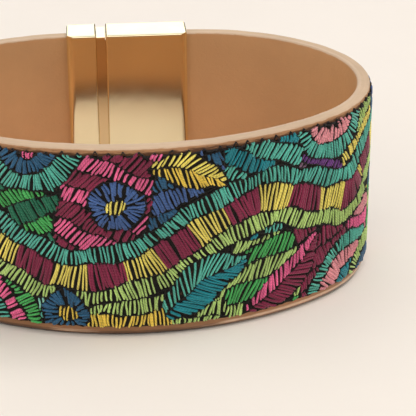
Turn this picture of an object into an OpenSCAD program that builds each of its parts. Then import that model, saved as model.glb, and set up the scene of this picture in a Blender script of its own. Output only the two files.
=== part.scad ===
// Wide leather bracelet with an embroidered outer face and a two-part metal bar clasp.
// It stands on its lower edge with the loop's axis upright, and the clasp at the back (+Y).
// The clasp is a little wider than the strap, so the bracelet leans forward by about one
// degree until the front of the strap touches down as well. The origin is the middle of the
// bounding box at its lowest face. All sizes are in millimetres.

/* [Strap] */
// Width of the leather strap, which is the height of the standing loop
strap_width = 28; // [22:0.5:32]
// Thickness of the leather
strap_thickness = 1.9; // [1.6:0.1:2.4]
// Rounding of the strap's long edges
strap_edge_round = 0.35; // [0.2:0.05:0.7]

/* [Loop seen from above] */
// Radius of the strap's outer face across the front
front_radius = 44; // [42:0.5:46]
// Radius of the strap's outer face at the two sides
side_radius = 20.5; // [19:0.5:22]

/* [Embroidery] */
// Thickness of the stitched layer on the outer face
panel_thickness = 0.6; // [0.4:0.05:0.9]
// Bare leather above the stitching
panel_top_margin = 0.95; // [0.5:0.05:2]
// Bare leather below the stitching
panel_bottom_margin = 1.1; // [0.5:0.05:2]
// Bare leather between each end of the stitching and the clasp, along the strap
panel_end_margin = 3.2; // [2:0.1:8]

/* [Clasp] */
// Length of the closed clasp along the strap
clasp_length = 18.8; // [18:0.2:20]
// Thickness of the clasp, from the wrist side to the outside
clasp_thickness = 6.1; // [5.8:0.1:7]
// How far the clasp stands past each long edge of the strap
clasp_overhang = 0.65; // [0.6:0.05:1.2]
// Length of the half that carries the tongue, up to its neck
narrow_half_length = 4.65; // [4.6:0.05:5.2]
// Length of the sunken neck that shows as a groove between the halves
neck_length = 1.45; // [1:0.05:1.8]
// Depth of that groove
neck_inset = 0.45; // [0.3:0.05:0.6]
// Rounding of the upright corners where the strap goes in
clasp_end_round = 1.1; // [0.6:0.1:1.4]
// Rounding of the clasp's other edges
clasp_edge_round = 0.3; // [0.2:0.05:0.5]

/* [Tongue] */
// How far the tongue reaches into the wide half
tongue_length = 5; // [3:0.1:5.5]
// How far the tongue lies in from the clasp's faces
tongue_inset = 1.1; // [0.9:0.05:1.3]

/* [Hidden] */
$fn = 96;

// Gaps between pieces that are glued, sewn or pushed together
glue_gap = 0.1;
sewn_gap = 0.05;
sliding_gap = 0.1;

// Depths of the pockets that hold the strap's ends
narrow_pocket_depth = 4.5;
wide_pocket_depth = 5.2;

leather_colour = [0.70, 0.51, 0.37];
panel_colour = [0.40, 0.16, 0.27];
gold_colour = [0.86, 0.70, 0.46];

// The loop is a front curve, two side curves and two back curves that run on into each other,
// with the clasp on a straight stretch. The curves meet along the directions of a 3-4-5
// triangle, which keeps their centres on round numbers. The front of the outer face is y = 0.
front_joint = [0.6, -0.8];
back_joint = [0.8, 0.6];
straight_back = [0, 1];
clasp_half_length = clasp_length / 2;
front_centre = [0, front_radius];
side_centre = front_centre + (front_radius - side_radius) * front_joint;
back_radius = side_radius + (side_centre.x - clasp_half_length) / back_joint.x;
back_centre = side_centre + (side_radius - back_radius) * back_joint;
loop_depth = back_centre.y + back_radius;

// Length of the wedges that cut the curves out of full rings
wedge_reach = 80;

// Faces and levels of the loop before it leans
strap_bottom_z = clasp_overhang;
strap_middle_y = loop_depth - strap_thickness / 2;
clasp_inner_y = strap_middle_y - clasp_thickness / 2;
clasp_outer_y = strap_middle_y + clasp_thickness / 2;
clasp_height = strap_width + 2 * clasp_overhang;
panel_corner_round = panel_thickness / 3;
panel_top_z = strap_bottom_z + strap_width - panel_top_margin;

// Stations along the clasp, from the narrow half's end to the wide half's end
narrow_end_x = -clasp_half_length;
neck_start_x = narrow_end_x + narrow_half_length;
seam_x = neck_start_x + neck_length;
tongue_end_x = seam_x + tongue_length;
wide_end_x = clasp_half_length;

// The lean brings the clasp's inner lower edge and the strap's front lower edge to one level
contact_run = clasp_inner_y + clasp_edge_round - strap_edge_round;
lean = atan(clasp_overhang / contact_run);
lowest_z = (clasp_inner_y + clasp_edge_round) * sin(lean)
    + clasp_edge_round * cos(lean) - clasp_edge_round;
foremost_y = -(sewn_gap + panel_thickness - panel_corner_round) * cos(lean)
    - (panel_top_z - panel_corner_round) * sin(lean) - panel_corner_round;
rearmost_y = (clasp_outer_y - clasp_edge_round) * cos(lean)
    - clasp_edge_round * sin(lean) + clasp_edge_round;
standing_shift = [0, -(foremost_y + rearmost_y) / 2, -lowest_z];

// A rectangle with round corners, with its lower left corner at the origin
module rounded_rectangle(size, radius) {
    translate([radius, 0]) square([size.x - 2 * radius, size.y]);
    translate([0, radius]) square([size.x, size.y - 2 * radius]);
    for (x = [radius, size.x - radius], y = [radius, size.y - radius])
        translate([x, y]) circle(r = radius);
}

// A cross-section swept about a centre, from one direction to another
module curve(centre, start, end) {
    far_start = centre + wedge_reach * start;
    far_end = centre + wedge_reach * end;
    intersection() {
        translate(centre) rotate([0, 0, 180]) rotate_extrude() children();
        linear_extrude(clasp_height)
            polygon([centre, far_start, far_start + wedge_reach * end, far_end]);
    }
}

// A rounded wall around the loop, from "offset" outside the strap's outer face outwards
module loop_wall(size, radius, offset, bottom, end) {
    curve(front_centre, [-front_joint.x, front_joint.y], front_joint)
        translate([front_radius + offset, bottom]) rounded_rectangle(size, radius);
    for (side = [0, 1]) mirror([side, 0, 0]) {
        curve(side_centre, front_joint, back_joint)
            translate([side_radius + offset, bottom]) rounded_rectangle(size, radius);
        curve(back_centre, back_joint, end)
            translate([back_radius + offset, bottom]) rounded_rectangle(size, radius);
    }
}

// A block whose outline is rounded by one radius in the top view and by another from the sides
module soft_block(size, plan_radius, edge_radius) {
    intersection() {
        linear_extrude(size.z) rounded_rectangle([size.x, size.y], plan_radius);
        translate([0, size.y, 0]) rotate([90, 0, 0])
            linear_extrude(size.y) rounded_rectangle([size.x, size.z], edge_radius);
        rotate([90, 0, 90])
            linear_extrude(size.x) rounded_rectangle([size.y, size.z], edge_radius);
    }
}

// A block centred on the strap's middle plane and on the clasp's height, from one x to another
module centred_block(from_x, to_x, thickness, height) {
    translate([from_x, strap_middle_y - thickness / 2, (clasp_height - height) / 2])
        cube([to_x - from_x, thickness, height]);
}

// The outside of one clasp half from x = 0: well rounded where the strap goes in at x = 0,
// and nearly sharp at the other end
module clasp_shell(length) {
    translate([0, clasp_inner_y, 0]) intersection() {
        soft_block([length + clasp_end_round, clasp_thickness, clasp_height],
            clasp_end_round, clasp_edge_round);
        translate([-clasp_edge_round, 0, 0])
            soft_block([length + clasp_edge_round, clasp_thickness, clasp_height],
                clasp_edge_round, clasp_edge_round);
    }
}

// The hollow that one end of the strap is glued into, with its mouth at x = 0
module strap_pocket(depth) {
    centred_block(-clasp_end_round, depth,
        strap_thickness + 2 * glue_gap, strap_width + 2 * glue_gap);
}

// The straight end of the strap, from the back curve into a pocket
module strap_end(length) {
    translate([clasp_half_length - length, loop_depth - strap_thickness, strap_bottom_z])
        rotate([90, 0, 90])
            linear_extrude(length)
                rounded_rectangle([strap_thickness, strap_width], strap_edge_round);
}

// Leans a piece of the loop into the way that the bracelet stands
module standing() {
    translate(standing_shift) rotate([lean, 0, 0]) children();
}

module strap() {
    color(leather_colour) standing() {
        loop_wall([strap_thickness, strap_width], strap_edge_round, -strap_thickness,
            strap_bottom_z, straight_back);
        strap_end(wide_pocket_depth - glue_gap);
        mirror([1, 0, 0]) strap_end(narrow_pocket_depth - glue_gap);
    }
}

module embroidered_panel() {
    end_angle = panel_end_margin / back_radius * 180 / PI;
    bottom_z = strap_bottom_z + panel_bottom_margin;
    color(panel_colour) standing()
        loop_wall([panel_thickness, panel_top_z - bottom_z], panel_corner_round, sewn_gap,
            bottom_z, [sin(end_angle), cos(end_angle)]);
}

module clasp_tongue_half() {
    color(gold_colour) standing() difference() {
        union() {
            translate([narrow_end_x, 0, 0]) clasp_shell(narrow_half_length);
            centred_block(neck_start_x - clasp_edge_round, seam_x - sliding_gap,
                clasp_thickness - 2 * neck_inset, clasp_height - 2 * neck_inset);
            centred_block(neck_start_x, tongue_end_x,
                clasp_thickness - 2 * tongue_inset, clasp_height - 2 * tongue_inset);
        }
        translate([narrow_end_x, 0, 0]) strap_pocket(narrow_pocket_depth);
    }
}

module clasp_socket_half() {
    socket_inset = tongue_inset - sliding_gap;
    color(gold_colour) standing() difference() {
        translate([wide_end_x, 0, 0]) mirror([1, 0, 0]) clasp_shell(wide_end_x - seam_x);
        centred_block(seam_x - 1, tongue_end_x + sliding_gap,
            clasp_thickness - 2 * socket_inset, clasp_height - 2 * socket_inset);
        translate([wide_end_x, 0, 0]) mirror([1, 0, 0]) strap_pocket(wide_pocket_depth);
    }
}

strap();
embroidered_panel();
clasp_tongue_half();
clasp_socket_half();
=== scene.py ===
"""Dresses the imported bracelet: leather strap, satin-stitch embroidery and gold-tone bar clasp.

Shapes are worked out in millimetres and handed to Blender in metres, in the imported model's frame.
"""
import logging
import math
from abc import ABC, abstractmethod
from dataclasses import dataclass, field, replace
from enum import Enum
from functools import cached_property

import bpy
import numpy as np
from mathutils import Matrix


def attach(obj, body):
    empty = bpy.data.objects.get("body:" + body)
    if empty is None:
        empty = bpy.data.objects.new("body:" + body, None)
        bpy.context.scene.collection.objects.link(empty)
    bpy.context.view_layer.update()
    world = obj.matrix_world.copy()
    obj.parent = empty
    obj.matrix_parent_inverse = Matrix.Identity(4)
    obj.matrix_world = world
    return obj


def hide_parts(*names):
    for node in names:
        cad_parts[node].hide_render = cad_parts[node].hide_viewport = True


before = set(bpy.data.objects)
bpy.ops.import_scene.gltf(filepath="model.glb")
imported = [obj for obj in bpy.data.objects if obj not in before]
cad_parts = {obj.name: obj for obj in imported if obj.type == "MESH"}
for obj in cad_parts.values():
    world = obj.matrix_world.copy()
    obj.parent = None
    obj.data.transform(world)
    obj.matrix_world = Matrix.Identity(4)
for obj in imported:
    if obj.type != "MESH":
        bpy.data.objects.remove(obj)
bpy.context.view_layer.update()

LOG = logging.getLogger("bracelet")
MM = 0.001
BODY = "root"
BAKE_MAP = "OFBake"
RUN_MAP = "run"
# The spacing of the points that the chart's lines are worked out at, in millimetres
CHART_STEP = 0.1
# What the chart gives for a place where no figure shows, and for one past its edges
BARE, OUTSIDE = -1, -2
Points = np.ndarray
Spot = tuple[float, float]
Colour = tuple[float, float, float]
Band = tuple[float, float]
# The scale of the clouds in a colour or a roughness, and their lowest and highest value
Clouds = tuple[float, float, float]
# The strength of a relief and its full depth in metres
Relief = tuple[float, float]
Piece = bpy.types.Object
Material = bpy.types.Material
Node = bpy.types.Node
Socket = bpy.types.NodeSocket


class Slot(Enum):
    """The record's material slots."""

    LEATHER = "tan_leather"
    EMBROIDERY = "embroidery"
    METAL = "gold_tone_metal"


@dataclass(frozen=True)
class Floss:
    """A thread's colour as it looks on screen, its stitches' width and the gaps between them."""

    colour: Colour
    width: float
    gap: float


class Thread(Enum):
    """The threads of the embroidery."""

    PLUM = Floss((0.49, 0.11, 0.25), 0.43, 0.02)
    PINK = Floss((0.88, 0.38, 0.57), 0.40, 0.18)
    DUSTY = Floss((0.84, 0.54, 0.57), 0.46, 0.02)
    YELLOW = Floss((0.89, 0.83, 0.40), 0.33, 0.20)
    GOLD = Floss((0.90, 0.78, 0.31), 0.33, 0.18)
    LIME = Floss((0.69, 0.81, 0.47), 0.33, 0.18)
    GREEN = Floss((0.27, 0.66, 0.34), 0.38, 0.16)
    FOREST = Floss((0.08, 0.40, 0.29), 0.44, 0.02)
    TEAL = Floss((0.33, 0.69, 0.62), 0.33, 0.20)
    MIST = Floss((0.52, 0.77, 0.70), 0.34, 0.18)
    LAGOON = Floss((0.06, 0.50, 0.545), 0.42, 0.03)
    NAVY = Floss((0.13, 0.34, 0.48), 0.42, 0.04)
    ROYAL = Floss((0.24, 0.36, 0.57), 0.42, 0.03)
    PURPLE = Floss((0.38, 0.18, 0.46), 0.42, 0.06)
    MAUVE = Floss((0.45, 0.33, 0.42), 0.40, 0.05)

    @property
    def pitch(self) -> float:
        """How far apart its stitches lie."""
        return self.value.width + self.value.gap


@dataclass(frozen=True)
class LoopPlan:
    """The line of the strap's outer face from above, and the way that the bracelet stands.

    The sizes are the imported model's, in millimetres. The front, side and back curves meet along
    the directions of a 3-4-5 triangle, and the clasp lies on a straight stretch at the back. A
    place on the strap is its distance along the loop from the middle of the front, its height
    above the strap's lower edge and its distance out from the outer face.

    Attributes:
        front_radius: The outer face's radius across the front.
        side_radius: Its radius at the two sides.
        straight: Half of the straight stretch.
        turns: The angles that the front, side and back curves turn through.
        width: The strap's width.
        thickness: The strap's thickness.
        edge_round: The rounding of the strap's long edges.
        clasp_overhang: How far the clasp stands past those edges.
        clasp_thickness: The clasp's thickness.
        clasp_round: The rounding of the clasp's edges.
        panel_face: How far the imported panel's face is from the leather.
        panel_top: The height of that panel's upper edge.
        panel_round: The rounding of its edges.
    """

    front_radius: float = 44.0
    side_radius: float = 20.5
    straight: float = 9.4
    turns: tuple[float, float, float] = (math.atan2(3, 4), math.pi / 2, math.atan2(4, 3))
    width: float = 28.0
    thickness: float = 1.9
    edge_round: float = 0.35
    clasp_overhang: float = 0.65
    clasp_thickness: float = 6.1
    clasp_round: float = 0.3
    panel_face: float = 0.65
    panel_top: float = 27.05
    panel_round: float = 0.2

    @cached_property
    def headings(self) -> Points:
        """The angles from the front where the curves start, and where the last one ends."""
        return np.concatenate([[0.0], np.cumsum(self.turns)])

    @cached_property
    def radii(self) -> Points:
        """Finds the back curve that joins the side to the straight stretch.

        Returns:
            The radii of the front, side and back curves.
        """
        _, front_joint, back_joint, _ = np.sin(self.headings)
        side_centre = (self.front_radius - self.side_radius) * front_joint
        back_radius = self.side_radius + (side_centre - self.straight) / back_joint
        return np.array([self.front_radius, self.side_radius, back_radius])

    @cached_property
    def centres(self) -> Points:
        """The centres of the front, side and back curves."""
        ways = np.stack([np.sin(self.headings), -np.cos(self.headings)], 1)
        return np.cumsum(-np.diff(self.radii, prepend=0.0)[:, None] * ways[:-1], axis=0)

    @cached_property
    def starts(self) -> Points:
        """Where the curves start along the loop, and where the last one ends."""
        return np.concatenate([[0.0], np.cumsum(self.radii * self.turns)])

    @cached_property
    def clasp_inner(self) -> float:
        """How far back the clasp's inner face is before the bracelet leans."""
        depth = self.centres[-1, 1] + self.radii[-1]
        return depth - (self.thickness + self.clasp_thickness) / 2

    @cached_property
    def lean(self) -> float:
        """How far the bracelet leans forward, so that its clasp and its front both touch down."""
        return math.atan2(self.clasp_overhang, self.clasp_inner + self.clasp_round - self.edge_round)

    @cached_property
    def shift(self) -> Points:
        """Stands the leaning bracelet on the floor, with its box's middle over the origin.

        Returns:
            How far it moves along each axis.
        """
        c, s = math.cos(self.lean), math.sin(self.lean)
        top = self.clasp_overhang + self.panel_top - self.panel_round
        back = self.clasp_inner + self.clasp_thickness - self.clasp_round
        lowest = (self.clasp_inner + self.clasp_round) * s + self.clasp_round * (c - 1)
        foremost = (self.panel_round - self.panel_face) * c - top * s - self.panel_round
        rearmost = back * c + self.clasp_round * (1 - s)
        return np.array([0.0, -(foremost + rearmost) / 2, -lowest])

    def place(self, along: Points, height: Points, out: Points) -> Points:
        """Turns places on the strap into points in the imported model's frame.

        Args:
            along: Distances along the loop from the middle of the front.
            height: Heights above the strap's lower edge.
            out: Distances out from the outer face.

        Returns:
            The points in metres, with one more axis than the places.
        """
        along, height, out = np.broadcast_arrays(along, height, out)
        run = np.abs(along)
        part = np.searchsorted(self.starts, run, side="right") - 1
        curved = part < len(self.turns)
        curve = np.minimum(part, len(self.turns) - 1)
        radius, centre = self.radii[curve], self.centres[curve]
        rest = run - self.starts[part]
        heading = self.headings[part] + np.where(curved, rest / radius, 0.0)
        x = centre[..., 0] + (radius + out) * np.sin(heading) - np.where(curved, 0.0, rest)
        y = centre[..., 1] - (radius + out) * np.cos(heading)
        z = height + self.clasp_overhang
        c, s = math.cos(self.lean), math.sin(self.lean)
        spots = np.stack([np.where(along < 0, -x, x), y * c - z * s, y * s + z * c], -1)
        return (spots + self.shift) * MM


@dataclass
class Skin:
    """A mesh in numbers, before it becomes a Blender object.

    Attributes:
        points: The vertices, in metres.
        faces: The vertex numbers of each face.
        maps: For each coordinate map, one place for each corner of each face.
        values: For each named value, one number for each vertex.
    """

    points: Points
    faces: list[list[int]]
    maps: dict[str, Points] = field(default_factory=dict)
    values: dict[str, Points] = field(default_factory=dict)

    def piece(self, name: str, finish: Material) -> Piece:
        """Makes the Blender object.

        Args:
            name: The object's name.
            finish: Its material.

        Returns:
            The object, smooth shaded and in the scene.
        """
        mesh = bpy.data.meshes.new(name)
        mesh.from_pydata(self.points.tolist(), [], self.faces)
        for key, places in self.maps.items():
            mesh.uv_layers.new(name=key).uv.foreach_set("vector", places.astype(np.float32).ravel())
        for key, numbers in self.values.items():
            layer = mesh.attributes.new(key, "FLOAT", "POINT")
            layer.data.foreach_set("value", numbers.astype(np.float32))
        mesh.polygons.foreach_set("use_smooth", np.ones(len(mesh.polygons), dtype=bool))
        mesh.materials.append(finish)
        mesh.update()
        made = bpy.data.objects.new(name, mesh)
        bpy.context.scene.collection.objects.link(made)
        return made


def tubes(sections: Points, run: Points, round_it: Points) -> Skin:
    """Closed tubes through rows of cross-sections, with both ends capped.

    The tubes share one bake map, where each has a cell of its own in a grid. Its wall fills most
    of the cell, and its caps lie beside the wall.

    Args:
        sections: Points in metres, by tube, cross-section and place round it. They run from the
            side that is to the left of the tube's direction, over the outside.
        run: How far along its tube each cross-section is, by tube and cross-section.
        round_it: How far round its cross-section each place is, by tube and place, with one more
            for the first place met again.

    Returns:
        The mesh, with the map "run" that holds run and round_it.
    """
    wall_corner, wall_size = np.array([0.04, 0.06]), np.array([0.84, 0.88])
    cap_radius, cap_centres = 0.04, np.array([[[0.94, 0.25]], [[0.94, 0.75]]])
    count, rings, sides, _ = sections.shape
    ring, side = np.meshgrid(np.arange(rings - 1), np.arange(sides), indexing="ij")
    ring = np.stack([ring, ring, ring + 1, ring + 1], -1).reshape(-1, 4)
    side = np.stack([side, side + 1, side + 1, side], -1).reshape(-1, 4)
    around = np.arange(sides)
    first = np.arange(count)[:, None] * rings * sides
    walls = (first[..., None] + ring * sides + side % sides).reshape(-1, 4)
    caps = np.stack([first + around[::-1], first + (rings - 1) * sides + around], 1)
    spans = np.stack([run[:, ring], round_it[:, side]], -1)
    rims = np.stack([round_it[:, around[::-1]], round_it[:, around]], 1)
    ends = np.stack([np.repeat(run[:, [0, -1], None], sides, 2), rims], -1)
    columns = math.ceil(math.sqrt(count / 2))
    cell = np.array([1 / columns, 1 / math.ceil(count / columns)])
    corner = np.stack([np.arange(count) % columns, np.arange(count) // columns], -1) * cell
    wall = wall_corner + wall_size * np.stack([ring / (rings - 1), side / sides], -1)
    angle = 2 * math.pi * around / sides
    disc = cap_radius * np.stack([np.cos(angle), np.sin(angle)], -1)
    cap = cap_centres + np.stack([disc[::-1], disc])
    baked = [(corner[:, None, None] + part * cell).reshape(-1, 2) for part in (wall, cap)]
    maps = {BAKE_MAP: np.concatenate(baked),
            RUN_MAP: np.concatenate([spans.reshape(-1, 2), ends.reshape(-1, 2)])}
    faces = walls.tolist() + caps.reshape(-1, sides).tolist()
    return Skin(sections.reshape(-1, 3), faces, maps)


def wobble(places: Points, wavelength: float, rng: np.random.Generator) -> Points:
    """Smooth unevenness along a line, mostly between -1 and 1.

    Args:
        places: Where along the line the unevenness is wanted.
        wavelength: The length of its longest waves.
        rng: The source of its shape.

    Returns:
        One number for each place.
    """
    shares, ratio, spread = (0.5, 0.3, 0.2, 0.15), 1.7, 0.15
    total = np.zeros(np.shape(places))
    for k, share in enumerate(shares):
        length = wavelength / ratio**k * rng.uniform(1 - spread, 1 + spread)
        total = total + share * np.sin(2 * math.pi * places / length + rng.uniform(0, 2 * math.pi))
    return total


@dataclass(frozen=True)
class Run:
    """Stitches of one colour, from start to end, row by row of two arrays."""

    start: Points
    end: Points
    thread: Thread


def smooth(points: tuple[Spot, ...], between: int = 40) -> Points:
    """A smooth curve through given points, as closely spaced points.

    Args:
        points: The places that the curve passes through, in order.
        between: How many places are worked out from each of them to the next.

    Returns:
        The curve's points, evenly spaced along it.
    """
    p = np.array(points, dtype=float)
    p = np.vstack([2 * p[0] - p[1], p, 2 * p[-1] - p[-2]])
    t = np.linspace(0, 1, between, endpoint=False)[:, None]
    parts = []
    for a, b, c, d in zip(p, p[1:], p[2:], p[3:]):
        parts.append(0.5 * (2 * b + (c - a) * t + (2 * a - 5 * b + 4 * c - d) * t**2
                            + (3 * b - a - 3 * c + d) * t**3))
    return spaced(np.vstack(parts + [p[-2:-1]]))


def lengths(line: Points) -> Points:
    """How far along a line each of its points is."""
    return np.concatenate([[0.0], np.cumsum(np.linalg.norm(np.diff(line, axis=0), axis=1))])


def along(line: Points, places: Points) -> Points:
    """The points of a line at fractional indexes."""
    index = np.arange(len(line))
    return np.stack([np.interp(places, index, line[:, 0]), np.interp(places, index, line[:, 1])], 1)


def spaced(line: Points) -> Points:
    """Spaces a line's points evenly, by about the chart's step.

    Args:
        line: The line's points.

    Returns:
        The new points.
    """
    run = lengths(line)
    marks = np.linspace(0, run[-1], max(2, round(run[-1] / CHART_STEP) + 1))
    return np.stack([np.interp(marks, run, line[:, 0]), np.interp(marks, run, line[:, 1])], 1)


def normals(line: Points) -> Points:
    """Works out which way is to the left of a line.

    Args:
        line: The line's points.

    Returns:
        The unit normal at each point.
    """
    d = np.gradient(line, axis=0)
    d /= np.linalg.norm(d, axis=1, keepdims=True) + 1e-9
    return np.stack([-d[:, 1], d[:, 0]], 1)


def evenly(first: float, last: float, pitch: float) -> Points:
    """The middles of equal steps of about one pitch between two places."""
    count = max(1, round((last - first) / pitch))
    return first + (np.arange(count) + 0.5) * (last - first) / count


def turned(angle: float) -> Points:
    """The unit direction at an angle in degrees from the chart's length."""
    return np.array([math.cos(math.radians(angle)), math.sin(math.radians(angle))])


class Motif(ABC):
    """One figure of the chart, in millimetres: x along the strap, y up from the lower edge."""

    @abstractmethod
    def outline(self) -> Points:
        """The figure's closed outline."""

    @abstractmethod
    def seams(self) -> list[Points]:
        """The lines inside the figure where one band of stitches meets the next."""

    @abstractmethod
    def runs(self) -> list[Run]:
        """The figure's stitches, before other figures cover them."""


@dataclass(frozen=True)
class Ribbon(Motif):
    """Satin bands side by side that follow one path, with the stitches across them.

    Attributes:
        path: The given points of the bands' middle line.
        widths: The bands' widths, from the right of the path to its left.
        threads: Each band's threads, which take turns along it.
        block: The length of one turn.
    """

    path: tuple[Spot, ...]
    widths: tuple[float, ...]
    threads: tuple[tuple[Thread, ...], ...]
    block: float

    def offsets(self) -> Points:
        """The bands' edges to the left of the path, from right to left."""
        edges = np.concatenate([[0.0], np.cumsum(self.widths)])
        return edges - edges[-1] / 2

    def outline(self) -> Points:
        """Follows the outer edges of the outermost bands.

        Returns:
            The closed outline's points.
        """
        line, edges = smooth(self.path), self.offsets()
        n = normals(line)
        return np.vstack([line + n * edges[0], (line + n * edges[-1])[::-1]])

    def seams(self) -> list[Points]:
        """The edges between bands."""
        line = smooth(self.path)
        return [line + normals(line) * e for e in self.offsets()[1:-1]]

    def runs(self) -> list[Run]:
        """Sews across each band, with its colours taking turns.

        Returns:
            The stitches, turn by turn.
        """
        line, edges = smooth(self.path), self.offsets()
        n = normals(line)
        made = []
        for low, high, threads in zip(edges, edges[1:], self.threads):
            run = lengths(line + n * (low + high) / 2)
            for k in range(math.ceil(run[-1] / self.block)):
                thread = threads[k % len(threads)]
                marks = evenly(k * self.block, min((k + 1) * self.block, run[-1]), thread.pitch)
                index = np.interp(marks, run, np.arange(len(line)))
                made.append(Run(along(line + n * low, index), along(line + n * high, index), thread))
        return made


@dataclass(frozen=True)
class Rosette(Motif):
    """Rings of radial stitches round a satin dot, or a fan where the chart's edge cuts it.

    Attributes:
        centre: The middle of the dot.
        radii: The radii of the dot and the rings.
        threads: The threads of the dot and the rings.
        arc_step: The spacing of the points of a circle.
        counted_at: The share of a ring's depth where its stitches lie a pitch apart.
        crowding: The share of a pitch under which stitches crowd at a ring's inner edge.
        lift: The share of the ring's depth that every second stitch stops short by there.
    """

    centre: Spot
    radii: tuple[float, ...]
    threads: tuple[Thread, ...]
    arc_step: float = 0.15
    counted_at: float = 0.65
    crowding: float = 0.6
    lift: float = 0.35

    def circle(self, radius: float) -> Points:
        """A circle round the centre."""
        a = np.linspace(0, 2 * math.pi, round(2 * math.pi * radius / self.arc_step))
        return np.array(self.centre) + radius * np.stack([np.cos(a), np.sin(a)], 1)

    def outline(self) -> Points:
        """The outermost ring's edge."""
        return self.circle(self.radii[-1])

    def seams(self) -> list[Points]:
        """The edges between rings."""
        return [self.circle(r) for r in self.radii[:-1]]

    def runs(self) -> list[Run]:
        """Sews parallel stitches in the dot, then radial stitches in each ring.

        Returns:
            The stitches of the dot and of each ring.
        """
        core, thread = self.radii[0], self.threads[0]
        x = evenly(-core, core, thread.pitch)
        half = np.sqrt(core**2 - x**2)
        middle = np.array(self.centre)
        made = [Run(middle + np.stack([x, -half], 1), middle + np.stack([x, half], 1), thread)]
        for inner, outer, thread in zip(self.radii, self.radii[1:], self.threads[1:]):
            depth = outer - inner
            count = round(2 * math.pi * (inner + self.counted_at * depth) / thread.pitch)
            number = np.arange(count)
            a = number * 2 * math.pi / count
            ray = np.stack([np.cos(a), np.sin(a)], 1)
            crowded = 2 * math.pi * inner / count < self.crowding * thread.pitch
            lift = np.where(number % 2 == 1, self.lift * depth, 0.0) * crowded
            made.append(Run(middle + ray * (inner + lift)[:, None], middle + ray * outer, thread))
        return made


@dataclass(frozen=True)
class Leaf(Motif):
    """A pointed leaf whose stitches slant from its midrib towards its tip.

    Attributes:
        base: Where the leaf starts.
        tip: Where it ends.
        width: Its full width.
        threads: The threads to the left and right of the midrib.
        bend: How far the midrib bows to the left.
        belly: Under one, its widest place lies towards the base.
        fullness: Under one, its sides are fuller than a sine curve.
        apart: The stitches' spacing along the midrib, in pitches.
        slope: How far a stitch runs along the leaf for each millimetre across it.
    """

    base: Spot
    tip: Spot
    width: float
    threads: tuple[Thread, Thread]
    bend: float
    belly: float = 0.85
    fullness: float = 0.8
    apart: float = 1.2
    slope: float = 0.8

    def rib(self) -> Points:
        """Bows the midrib between its ends.

        Returns:
            The midrib's points.
        """
        a, b = np.array(self.base), np.array(self.tip)
        side = np.array([a[1] - b[1], b[0] - a[0]]) / np.linalg.norm(b - a)
        return smooth((self.base, tuple((a + b) / 2 + side * self.bend), self.tip))

    def halves(self, line: Points) -> Points:
        """Half of the leaf's width at each point of the midrib."""
        t = np.linspace(0, 1, len(line))
        return self.width / 2 * np.sin(math.pi * t**self.belly) ** self.fullness

    def edge(self, side: int) -> Points:
        """The leaf's edge to the left (1) or right (-1) of the midrib."""
        line = self.rib()
        return line + normals(line) * (side * self.halves(line))[:, None]

    def outline(self) -> Points:
        """Both edges, one after the other."""
        return np.vstack([self.edge(1), self.edge(-1)[::-1]])

    def seams(self) -> list[Points]:
        """The midrib."""
        return [self.rib()]

    def runs(self) -> list[Run]:
        """Sews slanted stitches on both sides of the midrib.

        Returns:
            The stitches of the left and of the right side.
        """
        line = self.rib()
        index = np.arange(len(line))
        made = []
        for side, thread in zip((1, -1), self.threads):
            places = np.arange(thread.pitch, len(line) * CHART_STEP, thread.pitch * self.apart)
            marks = places / CHART_STEP
            reach = np.interp(marks, index, self.halves(line)) * self.slope / CHART_STEP
            end = along(self.edge(side), np.minimum(marks + reach, index[-1]))
            made.append(Run(along(line, marks), end, thread))
        return made


@dataclass(frozen=True)
class Field(Motif):
    """A patch filled with rows of slanted stitches, like bricks.

    Attributes:
        corners: The patch's corners.
        threads: The rows' threads, which take turns.
        rows_at: The slope of the rows, in degrees.
        stitches_at: The slope of the stitches, in degrees.
        row: The rows' depth.
        past: How far the rows run on past the patch before it cuts them.
    """

    corners: tuple[Spot, ...]
    threads: tuple[Thread, ...]
    rows_at: float
    stitches_at: float
    row: float = 2.6
    past: float = 3.0

    def outline(self) -> Points:
        """The patch's edge."""
        return spaced(np.array(self.corners + self.corners[:1], dtype=float))

    def rows(self) -> tuple[Points, Points, Points, Band]:
        """Lays rows over the patch.

        Returns:
            Their direction, the way across them, their edges' places and how far they run.
        """
        u, across = turned(self.rows_at), turned(self.rows_at + 90)
        c = np.array(self.corners)
        low, high = (c @ across).min(), (c @ across).max()
        levels = np.arange(math.floor(low / self.row), math.ceil(high / self.row) + 1) * self.row
        return u, across, levels, ((c @ u).min() - self.past, (c @ u).max() + self.past)

    def seams(self) -> list[Points]:
        """Draws the edges between rows.

        Returns:
            Each edge's points.
        """
        u, across, levels, reach = self.rows()
        t = np.arange(*reach, CHART_STEP)[:, None]
        return [t * u + across * level for level in levels]

    def runs(self) -> list[Run]:
        """Sews rows of parallel stitches, each row set off by half a stitch.

        Returns:
            The stitches, row by row.
        """
        u, across, levels, reach = self.rows()
        way = turned(self.stitches_at)
        rise = way @ across
        made = []
        for k, level in enumerate(levels[:-1]):
            thread = self.threads[k % len(self.threads)]
            t = np.arange(*reach, thread.pitch / rise) + (k % 2) * thread.pitch / 2
            start = t[:, None] * u + across * level
            made.append(Run(start, start + way * self.row / rise, thread))
        return made


@dataclass(frozen=True)
class Sway:
    """One of the waves that a free hand gives to a line.

    Attributes:
        reach: How far it strays, in millimetres.
        along: How much it turns for each millimetre along the strap, in radians.
        up: How much it turns for each millimetre up the strap.
        start: Its angle where both are zero.
    """

    reach: float
    along: float
    up: float
    start: float = 0.0

    def at(self, x: Points, y: Points) -> Points:
        """How far it strays at places on the chart."""
        return self.reach * np.sin(self.along * x + self.up * y + self.start)


SIDEWAYS = (Sway(0.28, 0.65, 0.75), Sway(0.05, -1.3, 2.1))
UPWARDS = (Sway(0.28, 0.75, -0.65, 1.0), Sway(0.05, 1.9, 1.6))


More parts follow.
